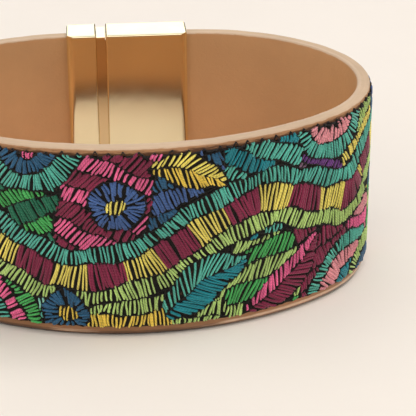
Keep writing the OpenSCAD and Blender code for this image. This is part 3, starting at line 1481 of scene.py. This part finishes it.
@dataclass(frozen=True)
class PaperFinish(Finish):
    """The pale, matt, faintly fibrous paper that the bracelet stands on.

    Attributes:
        colour: Its colour as it looks on screen.
        tone: The clouds in its colour.
        tooth: The scale of its fibres.
        bump: The relief of its fibres.
    """

    colour: Colour = (0.97, 0.936, 0.905)
    tone: Clouds = (30.0, 0.985, 1.0)
    tooth: float = 900.0
    bump: Relief = (0.12, 0.05 * MM)

    def dress(self, nodes: Nodes, surface: Node, effects: Effects) -> None:
        """Gives the paper its tooth.

        Args:
            nodes: The material's nodes.
            surface: Its surface shader.
            effects: The shared effects.
        """
        place = nodes.place()
        colour = nodes.tinted(linear(self.colour), effects.mottled(nodes, place, *self.tone))
        fibres = effects.pebbled(nodes, place, self.tooth)
        nodes.fill(surface, {"Base Color": colour, "Roughness": 0.8,
                             "Normal": nodes.relief(fibres, *self.bump), "Specular IOR Level": 0.2})


def seat(piece: Piece, slot: Slot, *nodes: str) -> None:
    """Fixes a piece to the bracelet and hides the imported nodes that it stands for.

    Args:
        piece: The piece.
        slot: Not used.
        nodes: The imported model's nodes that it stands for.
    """
    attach(piece, BODY)
    if nodes:
        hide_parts(*nodes)
    LOG.info("%s: %d faces", piece.name, len(piece.data.polygons))


@dataclass(frozen=True)
class Strap:
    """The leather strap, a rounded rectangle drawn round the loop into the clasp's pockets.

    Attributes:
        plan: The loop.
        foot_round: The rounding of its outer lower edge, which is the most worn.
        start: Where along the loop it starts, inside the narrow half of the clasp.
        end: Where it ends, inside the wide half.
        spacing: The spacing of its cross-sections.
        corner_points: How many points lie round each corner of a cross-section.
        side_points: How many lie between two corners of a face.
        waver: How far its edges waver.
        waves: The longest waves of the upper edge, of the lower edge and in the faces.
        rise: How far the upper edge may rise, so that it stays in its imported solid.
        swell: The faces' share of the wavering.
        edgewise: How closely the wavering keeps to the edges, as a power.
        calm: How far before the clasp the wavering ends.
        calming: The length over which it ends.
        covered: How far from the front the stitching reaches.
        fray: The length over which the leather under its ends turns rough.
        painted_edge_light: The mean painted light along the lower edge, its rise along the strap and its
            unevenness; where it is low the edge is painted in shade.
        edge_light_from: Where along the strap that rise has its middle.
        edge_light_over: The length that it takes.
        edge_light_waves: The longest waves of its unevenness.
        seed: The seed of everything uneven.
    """

    plan: LoopPlan
    foot_round: float = 0.8
    start: float = -89.37
    end: float = 90.07
    spacing: float = 0.7
    corner_points: int = 7
    side_points: int = 10
    waver: float = 0.035
    waves: tuple[float, float, float] = (9.0, 7.0, 13.0)
    rise: float = 0.02
    swell: float = 0.5
    edgewise: int = 6
    calm: float = 3.0
    calming: float = 4.0
    covered: float = 81.6
    fray: float = 0.5
    painted_edge_light: tuple[float, float, float] = (0.5, 0.4, 0.3)
    edge_light_from: float = 14.0
    edge_light_over: float = 12.0
    edge_light_waves: float = 31.0
    seed: int = 11

    def section(self) -> tuple[Points, Points]:
        """The cross-section from the middle of the upper edge, over the outside.

        Returns:
            The places' distances out and their heights.
        """
        r, foot, t, w = self.plan.edge_round, self.foot_round, self.plan.thickness, self.plan.width
        corners = [(-r, w - r, r, 90), (-foot, foot, foot, 0), (-t + r, r, r, -90), (-t + r, w - r, r, 180)]
        arcs = []
        for out, height, radius, first in corners:
            angle = math.radians(first) - np.linspace(0, math.pi / 2, self.corner_points)
            arcs.append(np.stack([out + radius * np.cos(angle), height + radius * np.sin(angle)], 1))
        sides = []
        for out, first, last in ((0.0, w - r, foot), (-t, r, w - r)):
            heights = np.linspace(first, last, self.side_points + 2)[1:-1]
            sides.append(np.stack([np.full(self.side_points, out), heights], 1))
        line = np.vstack([[(-t / 2, w)], arcs[0], sides[0], arcs[1], arcs[2], sides[1], arcs[3]])
        return line[:, 0], line[:, 1]

    def build(self, finish: Material) -> Piece:
        """Makes the strap.

        Args:
            finish: The leather.

        Returns:
            The strap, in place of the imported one.
        """
        rng = np.random.default_rng(self.seed)
        out, height = self.section()
        along = np.linspace(self.start, self.end, round((self.end - self.start) / self.spacing) + 1)
        upper, lower, bulge = (self.waver * wobble(along, length, rng) for length in self.waves)
        fade = np.clip((self.plan.starts[-1] - self.calm - np.abs(along)) / self.calming, 0, 1)[:, None]
        share = height / self.plan.width
        near_edge = np.abs(share * 2 - 1) ** self.edgewise
        lift = np.where(share > 0.5, np.minimum(upper, self.rise)[:, None], np.abs(lower)[:, None])
        heights = height + lift * near_edge * fade
        outs = out + self.swell * bulge[:, None] * near_edge * fade
        spots = self.plan.place(along[:, None], heights, outs)
        steps_round = np.hypot(np.diff(out, append=out[0]), np.diff(height, append=height[0]))
        round_it = np.concatenate([[0.0], np.cumsum(steps_round)])
        skin = tubes(spots[None], along[None], round_it[None])
        # Painted light and shade along the lower edge: darker along the left half of the loop, lighter
        # along the right, with some unevenness.
        mean, growth, drift = self.painted_edge_light
        painted_edge_light = mean + growth * np.tanh((along - self.edge_light_from) / self.edge_light_over)
        painted_edge_light = np.clip(painted_edge_light + drift * wobble(along, self.edge_light_waves, rng), 0, 1)
        bare = np.clip((np.abs(along) - self.covered) / self.fray, 0, 1)
        inner = (out < -self.plan.thickness / 2).astype(float)
        skin.values = {"level": np.tile(height, len(along)), "inner": np.tile(inner, len(along)),
                       "painted_edge_light": np.repeat(painted_edge_light, len(out)), "bare": np.repeat(bare, len(out))}
        piece = skin.piece("leather_strap", finish)
        seat(piece, Slot.LEATHER, "strap")
        return piece


@dataclass(frozen=True)
class Hand:
    """The unevenness of the sewer's hand, which all stitches share.

    Attributes:
        drift: How far neighbouring ends stray sideways together, as a multiple of their sway.
        drift_waves: The longest waves of that, in stitches.
        most_trim: The largest share of a stitch that is trimmed at an end.
        steady: The length from which a stitch's ends slip.
        near: How close a neighbour's end is that a stitch's end may slide towards.
        slide: The share of the gap that it slides.
        plump: The range of the stitches' widths, as shares.
        loft: The range of their heights, as shares.
        ripple: How much the width changes along a stitch.
        swell: The share of its height that a stitch has everywhere, and more in its middle.
        lean: How far neighbouring middles stray together, as a multiple of their bow.
        lean_waves: The longest waves of that, in stitches.
        bend: How far a stitch bends to both sides, as a multiple of its bow.
    """

    drift: float = 2.6
    drift_waves: float = 7.3
    most_trim: float = 0.2
    steady: float = 1.2
    near: float = 0.9
    slide: float = 0.4
    plump: Band = (0.84, 1.16)
    loft: Band = (0.78, 1.05)
    ripple: float = 0.035
    swell: Band = (0.95, 0.08)
    lean: float = 3.0
    lean_waves: float = 9.0
    bend: float = 0.7


HAND = Hand()


def directions(start: Points, end: Points) -> tuple[Points, Points, Points]:
    """Works out which way straight stitches run.

    Args:
        start: Where they start.
        end: Where they end.

    Returns:
        Their unit directions, those to their left, and their lengths.
    """
    way = end - start
    length = np.linalg.norm(way, axis=1, keepdims=True)
    way = way / length
    return way, np.stack([-way[:, 1], way[:, 0]], 1), length


@dataclass(frozen=True)
class StitchForm:
    """The shape of one kind of stitch, in millimetres.

    Attributes:
        width: Its width.
        base: How far its underside is above the leather.
        height: How far its crest is above the leather.
        dive: The length over which each end curves down.
        trim: How much shorter it is at each end than the chart says.
        sway: How far its ends stray sideways.
        slip: How far its ends stray lengthways.
        bow: How far its middle strays sideways.
        arc: How far its middle lies to the left of a straight line.
        pinch: The share of stitches whose end slides towards the next one's.
        doubled: The share of stitches that are sewn twice.
        near: The places of the cross-sections near an end.
        middle: How many more cross-sections lie between the ends.
        around: How many places there are round a cross-section.
        least: The length, in last places near an end, under which a stitch is scaled down.
        tip_width: The share of its width that is left at an end.
        tip_height: The share of its height that is left at an end.
        tuck: How far its sides curve in under it, in degrees.
    """

    width: float
    base: float = 0.07
    height: float = 0.40
    dive: float = 0.36
    trim: float = 0.05
    sway: float = 0.05
    slip: float = 0.13
    bow: float = 0.04
    arc: float = 0.0
    pinch: float = 0.22
    doubled: float = 0.08
    near: tuple[float, ...] = (0.0, 0.05, 0.16, 0.34)
    middle: int = 3
    around: int = 7
    least: float = 3.2
    tip_width: float = 0.45
    tip_height: float = 0.2
    tuck: float = 14.0

    def ends(self, start: Points, end: Points, rng: np.random.Generator) -> list[Points]:
        """Where the stitches really start and end, with a sewer's unevenness.

        Args:
            start: Where the chart says that they come up, by stitch.
            end: Where it says that they go down.
            rng: The source of the unevenness.

        Returns:
            The uneven starts and ends.
        """
        count = len(start)
        way, left, length = directions(start, end)
        drift = HAND.drift * self.sway * wobble(np.arange(count), HAND.drift_waves, rng)[:, None]
        made = []
        for spot, sign in ((start, 1), (end, -1)):
            slip = rng.normal(0, self.slip, (count, 1)) * (length > HAND.steady)
            trim = np.minimum(self.trim, length * HAND.most_trim) + slip
            spot = spot + way * sign * trim + left * (rng.normal(0, self.sway, (count, 1)) + drift)
            gap = np.roll(spot, -1, axis=0) - spot
            close = np.linalg.norm(gap, axis=1, keepdims=True) < HAND.near
            pinched = close & (rng.random((count, 1)) < self.pinch)
            made.append(spot + HAND.slide * gap * pinched)
        return made

    def lay(self, start: Points, end: Points, rng: np.random.Generator) -> tuple[Points, Points, Points]:
        """Lays stitches on the flat chart.

        Args:
            start: Where the chart says that they come up, by stitch.
            end: Where it says that they go down.
            rng: The source of their unevenness.

        Returns:
            Places by stitch, ring, side and axis (along, height, out), and the two arrays that
            tubes() wants.
        """
        count = len(start)
        start, end = self.ends(start, end, rng)
        way, left, length = directions(start, end)
        near = np.array(self.near)
        scale = np.minimum(length / (self.least * near[-1]), 1.0)
        inside = (np.arange(self.middle) + 1) / (self.middle + 1)
        first = near[-1] * scale
        run = np.hstack([near * scale, first + (length - 2 * first) * inside, length - near[::-1] * scale])
        depth = np.minimum(run, length - run)
        rise = np.sqrt(1 - (1 - np.clip(depth / (self.dive * scale), 0, 1)) ** 2)
        share = run / length
        arch = np.sin(math.pi * share)
        fat = rng.uniform(*HAND.plump, (count, 1)) * (1 + rng.normal(0, HAND.ripple, run.shape))
        half = self.width / 2 * fat * (self.tip_width + (1 - self.tip_width) * rise)
        tall = (self.height - self.base) * rng.uniform(*HAND.loft, (count, 1))
        tall = tall * (self.tip_height + (1 - self.tip_height) * rise)
        tall = tall * (HAND.swell[0] + HAND.swell[1] * arch)
        lean = HAND.lean * self.bow * wobble(np.arange(count), HAND.lean_waves, rng)[:, None]
        bow = arch * (self.arc + lean + rng.normal(0, self.bow, (count, 1)))
        bow = bow + np.sin(2 * math.pi * share) * rng.normal(0, HAND.bend * self.bow, (count, 1))
        centre = start[:, None] + way[:, None] * run[..., None] + left[:, None] * bow[..., None]
        angle = np.radians(np.linspace(-self.tuck, 180 + self.tuck, self.around))
        across = half[..., None] * np.cos(angle)
        out = self.base + tall[..., None] * np.sin(angle)
        flat = centre[:, :, None] + left[:, None, None] * across[..., None]
        places = np.concatenate([flat, out[..., None]], -1)
        return places, run, np.tile(np.linspace(0, 1, self.around + 1), (count, 1))


@dataclass(frozen=True)
class Panel:
    """The stretch of the strap that is embroidered, in millimetres.

    Attributes:
        half_length: Half of its length along the strap.
        bottom: How far its lower edge is above the strap's.
        height: Its height.
        hem: How far above its lower edge the stitches start.
    """

    half_length: float = 81.77
    bottom: float = 1.1
    height: float = 25.95
    hem: float = 0.4


@dataclass(frozen=True)
class StitchedGround:
    """The lumpy dark ground that the stitches lie on, with its ragged edges.

    Attributes:
        plan: The loop.
        panel: The embroidered stretch.
        spacing: The spacing of its points.
        sunk: How far its back reaches into the leather.
        edge: How thick it is at its edges.
        thickness: How much thicker it is further in.
        lump: The height of its lumps.
        rounding: How far from its edges it is thinner.
        lower: How far its lower edge is past the hem, the reach and longest waves of its
            wavering, and its jitter.
        upper: The same for its upper edge, below the panel's.
        seed: The seed of everything uneven.
    """

    plan: LoopPlan
    panel: Panel
    spacing: float = 0.45
    sunk: float = 0.02
    edge: float = 0.02
    thickness: float = 0.1
    lump: float = 0.07
    rounding: float = 0.3
    lower: tuple[float, float, float, float] = (0.02, 0.09, 2.6, 0.05)
    upper: tuple[float, float, float, float] = (0.12, 0.12, 2.2, 0.06)
    seed: int = 5

    def build(self, finish: Material) -> Piece:
        """Makes the ground.

        Args:
            finish: The ground's finish.

        Returns:
            The ground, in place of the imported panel.
        """
        rng = np.random.default_rng(self.seed)
        half, height = self.panel.half_length, self.panel.height
        along = np.linspace(-half, half, round(2 * half / self.spacing) + 1)
        rows = np.linspace(0, 1, round(height / self.spacing) + 1)[::-1]
        edges = []
        for level, (past, reach, waves, jitter) in ((self.panel.hem, self.lower), (height, self.upper)):
            waver = level - past + reach * wobble(along, waves, rng) + rng.normal(0, jitter, len(along))
            edges.append(waver[:, None])
        low, high = edges
        front = low + (high - low) * rows
        rise = np.clip(np.minimum(rows, 1 - rows) * height / self.rounding, 0, 1) ** 0.5
        out = self.edge + self.thickness * rise + rng.uniform(0, self.lump, front.shape) * rise
        heights = np.hstack([front, np.clip(np.hstack(edges), 0, height)])
        outs = np.hstack([out, np.full((len(along), 2), -self.sunk)])
        spots = self.plan.place(along[:, None], heights + self.panel.bottom, outs)
        skin = tubes(spots[None], along[None], np.linspace(0, 1, heights.shape[1] + 1)[None])
        piece = skin.piece("stitched_ground", finish)
        seat(piece, Slot.EMBROIDERY, "embroidered_panel")
        return piece


@dataclass(frozen=True)
class Embroidery:
    """The coloured stitches, the fine dark outlines and the dark thread along the upper edge.

    Attributes:
        plan: The loop.
        panel: The embroidered stretch.
        crowded: The gap under which a thread's stitches are sewn close and less evenly.
        colour_seed: The seed of the first thread's unevenness.
        outline: The outlines' stitches.
        outline_colour: Their thread's colour.
        outline_steps: The least length of one, and the length that none has, in chart steps.
        outline_rest: How many steps of a line may be left without one.
        outline_seed: The seed of their lengths and unevenness.
        edge: The stitches along the upper edge.
        edge_colour: Their thread's colour.
        edge_from: How far from the panel's one end they start.
        edge_to: How far before its other end they stop.
        hump: The range of the humps' widths.
        hump_step: The range of the distances from one hump to the next.
        hump_drop: The range of their feet's distances below the panel's upper edge.
        hump_arc: How far a hump's middle stands above its feet.
        hump_bow: How uneven that is.
        under: How much lower the stitches between the humps lie.
        tuck: The share of a hump's width after which the next stitch starts.
        overlap: How far that stitch runs on under the next hump.
        edge_seed: The seed of the places along the edge and their unevenness.
    """

    plan: LoopPlan
    panel: Panel
    crowded: float = 0.1
    colour_seed: int = 100
    outline: StitchForm = StitchForm(
        width=0.22, height=0.38, dive=0.25, trim=0.0, sway=0.03, slip=0.02, bow=0.03, pinch=0.0,
        doubled=0.0, near=(0.0, 0.1, 0.26), middle=1, around=5)
    outline_colour: Colour = (0.075, 0.062, 0.055)
    outline_steps: tuple[int, int] = (11, 16)
    outline_rest: int = 4
    outline_seed: int = 77
    edge: StitchForm = StitchForm(
        width=0.24, base=0.02, height=0.32, dive=0.2, trim=0.0, sway=0.02, slip=0.02, bow=0.03,
        pinch=0.0, doubled=0.0, around=5)
    edge_colour: Colour = (0.10, 0.08, 0.075)
    edge_from: float = 0.6
    edge_to: float = 1.8
    hump: Band = (0.55, 0.85)
    hump_step: Band = (1.7, 2.4)
    hump_drop: Band = (0.12, 0.28)
    hump_arc: float = 0.52
    hump_bow: float = 0.07
    under: float = 0.05
    tuck: float = 0.8
    overlap: float = 0.1
    edge_seed: int = 31

    @cached_property
    def chart(self) -> Chart:
        """The figures, laid out over the embroidered length."""
        return Chart(FIGURES, REPEAT, self.panel.half_length, self.panel.height, self.panel.hem)

    @staticmethod
    def dark_thread(name: str, colour: Colour, effects: Effects) -> Material:
        """The dull dark thread of the outlines and the edge."""
        return ThreadFinish(colour, strands=1.5, rough=0.7, sheen=0.1).material(name, effects)

    def stitched(self, name: str, form: StitchForm, start: Points, end: Points, finish: Material,
                 rng: np.random.Generator) -> Piece:
        """Makes one piece out of many stitches.

        Args:
            name: The piece's name.
            form: The shape of its stitches.
            start: Where they start on the chart.
            end: Where they end.
            finish: The thread.
            rng: The source of their unevenness.

        Returns:
            The piece.
        """
        if form.doubled:
            again = rng.random(len(start)) < form.doubled
            start, end = np.concatenate([start, start[again]]), np.concatenate([end, end[again]])
        places, run, round_it = form.lay(start, end, rng)
        spots = self.plan.place(places[..., 0], places[..., 1] + self.panel.bottom, places[..., 2])
        skin = tubes(spots, run, round_it)
        per_stitch = spots.shape[1] * spots.shape[2]
        skin.values = {"shade": np.repeat(rng.uniform(-1, 1, len(start)), per_stitch)}
        piece = skin.piece(name, finish)
        seat(piece, Slot.EMBROIDERY)
        return piece

    def form_of(self, floss: Floss) -> StitchForm:
        """Shapes one thread's stitches, less evenly where they are sewn close.

        Args:
            floss: The thread.

        Returns:
            The stitches' shape.
        """
        form = StitchForm(width=floss.width)
        if floss.gap < self.crowded:
            form = replace(form, sway=0.07, slip=0.15, bow=0.045, pinch=0.3, doubled=0.2)
        return form

    def build_colours(self, effects: Effects) -> None:
        """Makes one piece for each colour of thread.

        Args:
            effects: The shared effects.
        """
        runs = self.chart.runs()
        for seed, thread in enumerate(Thread, self.colour_seed):
            parts = [r for r in runs if r.thread is thread]
            start = np.concatenate([r.start for r in parts])
            end = np.concatenate([r.end for r in parts])
            name = thread.name.lower()
            finish = ThreadFinish(thread.value.colour).material(f"{name}_thread", effects)
            self.stitched(f"{name}_stitches", self.form_of(thread.value), start, end, finish,
                          np.random.default_rng(seed))

    def build_outlines(self, effects: Effects) -> None:
        """Makes the dark back stitches along every edge of a figure.

        Args:
            effects: The shared effects.
        """
        rng = np.random.default_rng(self.outline_seed)
        starts, ends = [], []
        for line in self.chart.edges():
            at = 0
            while at < len(line) - self.outline_rest:
                stop = min(at + int(rng.integers(*self.outline_steps)), len(line) - 1)
                starts.append(line[at])
                ends.append(line[stop])
                at = stop
        finish = self.dark_thread("outline_thread", self.outline_colour, effects)
        self.stitched("outline_stitches", self.outline, np.array(starts), np.array(ends), finish, rng)

    def build_edge(self, effects: Effects) -> None:
        """Makes the dark thread along the upper edge, which humps up at each of its stitches.

        Args:
            effects: The shared effects.
        """
        rng = np.random.default_rng(self.edge_seed)
        humps, flats = [], []
        x = self.edge_from - self.panel.half_length
        while x < self.panel.half_length - self.edge_to:
            wide, step = rng.uniform(*self.hump), rng.uniform(*self.hump_step)
            low, high = self.panel.height - rng.uniform(*self.hump_drop, 2)
            humps.append([(x, low), (x + wide, high)])
            flats.append([(x + wide * self.tuck, high - self.under),
                          (x + step + self.overlap, low - self.under)])
            x += step
        humped = replace(self.edge, arc=self.hump_arc, bow=self.hump_bow)
        for name, thread, form, spots in (("edge_humps", "edge_hump_thread", humped, humps),
                                          ("edge_stitches", "edge_thread", self.edge, flats)):
            start, end = np.swapaxes(spots, 0, 1)
            finish = self.dark_thread(thread, self.edge_colour, effects)
            self.stitched(name, form, start, end, finish, rng)

    def build(self, effects: Effects) -> None:
        """Makes all of the embroidery.

        Args:
            effects: The shared effects.
        """
        self.build_colours(effects)
        self.build_outlines(effects)
        self.build_edge(effects)


@dataclass(frozen=True)
class BarClasp:
    """The two halves of the clasp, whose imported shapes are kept."""

    nodes: tuple[str, str] = ("clasp_tongue_half", "clasp_socket_half")

    def dress(self, finish: Material) -> None:
        """Gives both halves their plating.

        Args:
            finish: The plating.
        """
        for name in self.nodes:
            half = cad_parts[name]
            half.data.materials.clear()
            half.data.materials.append(finish)
            LOG.info("%s: %d faces", name, len(half.data.polygons))


@dataclass(frozen=True)
class Lamp:
    """A soft rectangular studio lamp that faces the bracelet.

    Attributes:
        name: Its name.
        spot: Where it hangs, in metres.
        size: Its width and height, in metres.
        power: Its power, in watts.
        colour: The colour of its light.
        aim: How far above the floor it is aimed at, in metres.
    """

    name: str
    spot: tuple[float, float, float]
    size: tuple[float, float]
    power: float
    colour: Colour
    aim: float = 0.012

    def light(self) -> None:
        """Hangs the lamp."""
        data = bpy.data.lights.new(self.name, "AREA")
        data.shape = "RECTANGLE"
        data.size, data.size_y = self.size
        data.energy = self.power
        data.color = self.colour
        lamp = bpy.data.objects.new(self.name, data)
        lamp.visible_camera = False
        bpy.context.scene.collection.objects.link(lamp)
        away = np.array(self.spot) - [0.0, 0.0, self.aim]
        away = away / np.linalg.norm(away)
        side = np.cross([0.0, 1.0, 0.0], away)
        side = side / np.linalg.norm(side)
        turn = np.stack([side, np.cross(away, side), away], 1)
        lamp.matrix_world = Matrix.Translation(self.spot) @ Matrix(turn.tolist()).to_4x4()


@dataclass(frozen=True)
class Studio:
    """The floor, the lamps, the air around them and the camera of the photograph.

    Attributes:
        lamps: The lamps.
        sky: The colour of the light from all round.
        horizon: Its strength from low down.
        zenith: Its strength from above.
        sky_top: How high up, from 0 to 1, it has that strength.
        surround: How bright the studio looks past the floor's edge.
        floor_half: Half of the floor's width, in metres.
        spot: Where the camera stands, in metres.
        yaw: How far it is turned to the right.
        pitch: How far it looks down.
        roll: How far it is tilted.
        lens: Its focal length, in millimetres.
        sensor: The width of its sensor, in millimetres.
        reach: The nearest and the farthest that it sees, in metres.
    """

    lamps: tuple[Lamp, ...] = (
        Lamp("back_panel", (-0.05, 1.0, 0.5), (0.8, 0.35), 1.43, (1.0, 0.98, 0.96)),
        Lamp("top_panel", (-0.06, 0.0, 0.9), (0.85, 0.85), 1.6, (0.95, 1.0, 1.0)),
        Lamp("back_left_panel", (-0.8, 0.8, 0.45), (0.6, 0.9), 0.65, (1.0, 0.98, 0.95)),
        Lamp("high_back_panel", (0.0, 0.5, 0.9), (0.6, 0.6), 1.28, (0.97, 0.98, 0.98)),
        Lamp("high_right_panel", (0.5, 0.0, 0.9), (0.6, 0.6), 5.05, (1.0, 0.98, 0.95)),
        Lamp("right_panel", (1.0, 0.37, 0.45), (0.6, 1.6), 1.2, (1.0, 0.97, 0.93)),
        Lamp("front_panel", (-0.12, -0.85, 0.6), (1.1, 0.45), 3.2, (1.0, 0.945, 0.885)),
        Lamp("low_front_panel", (0.0, -1.0, 0.38), (2.2, 0.5), 1.2, (1.0, 0.96, 0.91)),
        Lamp("front_right_panel", (0.6, -0.8, 0.7), (0.6, 0.6), 1.3, (1.0, 0.97, 0.93)),
        Lamp("left_panel", (-1.2, 0.0, 0.475), (0.95, 1.15), 6.8, (1.0, 0.945, 0.875)),
    )
    sky: Colour = (1.0, 0.97, 0.935)
    horizon: float = 0.1
    zenith: float = 0.0
    sky_top: float = 0.9
    surround: float = 0.94
    floor_half: float = 1.0
    spot: tuple[float, float, float] = (-0.00628, -0.222963, 0.107549)
    yaw: float = math.radians(4.416)
    pitch: float = math.radians(24.015)
    roll: float = math.radians(-0.437)
    lens: float = 141.051
    sensor: float = 36.0
    reach: Band = (0.01, 10.0)

    def lay_floor(self, finish: Material) -> None:
        """Makes the floor.

        Args:
            finish: The floor's finish.
        """
        h = self.floor_half
        skin = Skin(np.array([(-h, -h, 0), (h, -h, 0), (h, h, 0), (-h, h, 0)]), [[0, 1, 2, 3]])
        skin.piece("paper_floor", finish)

    def set_air(self) -> None:
        """Sets the light from all round, stronger from low down, and how it turns into colours.

        Past the floor's edge the studio looks as pale as the floor does.
        """
        world = bpy.data.worlds.new("studio_air")
        world.use_nodes = True
        nodes = Nodes(world.node_tree)
        back = next(n for n in world.node_tree.nodes if n.type == "BACKGROUND")
        _, _, height = nodes.apart(nodes.add("TexCoord").outputs["Generated"])
        seen = nodes.times(nodes.add("LightPath").outputs["Is Camera Ray"], self.surround)
        glow = nodes.steps(height, 0.0, self.sky_top, self.horizon, self.zenith)
        nodes.fill(back, {"Color": linear(self.sky), "Strength": nodes.math("MAXIMUM", seen, glow)})
        bpy.context.scene.world = world
        bpy.context.scene.view_settings.view_transform = "Standard"

    def aim_camera(self) -> None:
        """Puts the camera where the photograph was taken from."""
        data = bpy.data.cameras.new("photo_camera")
        data.lens, data.sensor_width = self.lens, self.sensor
        data.clip_start, data.clip_end = self.reach
        forward = np.array([math.sin(self.yaw) * math.cos(self.pitch),
                            math.cos(self.yaw) * math.cos(self.pitch), -math.sin(self.pitch)])
        right = np.array([math.cos(self.yaw), -math.sin(self.yaw), 0.0])
        up = np.cross(right, forward)
        c, s = math.cos(self.roll), math.sin(self.roll)
        turn = np.stack([c * right + s * up, -s * right + c * up, -forward], 1)
        camera = bpy.data.objects.new("photo_camera", data)
        bpy.context.scene.collection.objects.link(camera)
        camera.matrix_world = Matrix.Translation(self.spot) @ Matrix(turn.tolist()).to_4x4()
        bpy.context.scene.camera = camera

    def build(self, effects: Effects) -> None:
        """Makes everything round the bracelet.

        Args:
            effects: The shared effects.
        """
        self.lay_floor(PaperFinish().material("pale_paper", effects))
        for lamp in self.lamps:
            lamp.light()
        self.set_air()
        self.aim_camera()


def main() -> None:
    """Builds the bracelet and its studio."""
    logging.basicConfig(level=logging.INFO, format="%(name)s: %(message)s")
    effects = Effects()
    plan, panel = LoopPlan(), Panel()
    Studio().build(effects)
    Strap(plan).build(LeatherFinish().material("tan_leather", effects))
    StitchedGround(plan, panel).build(GroundFinish().material("dark_ground", effects))
    Embroidery(plan, panel).build(effects)
    BarClasp().dress(GoldFinish().material("pale_gold", effects))


if __name__ == "__main__":
    main()
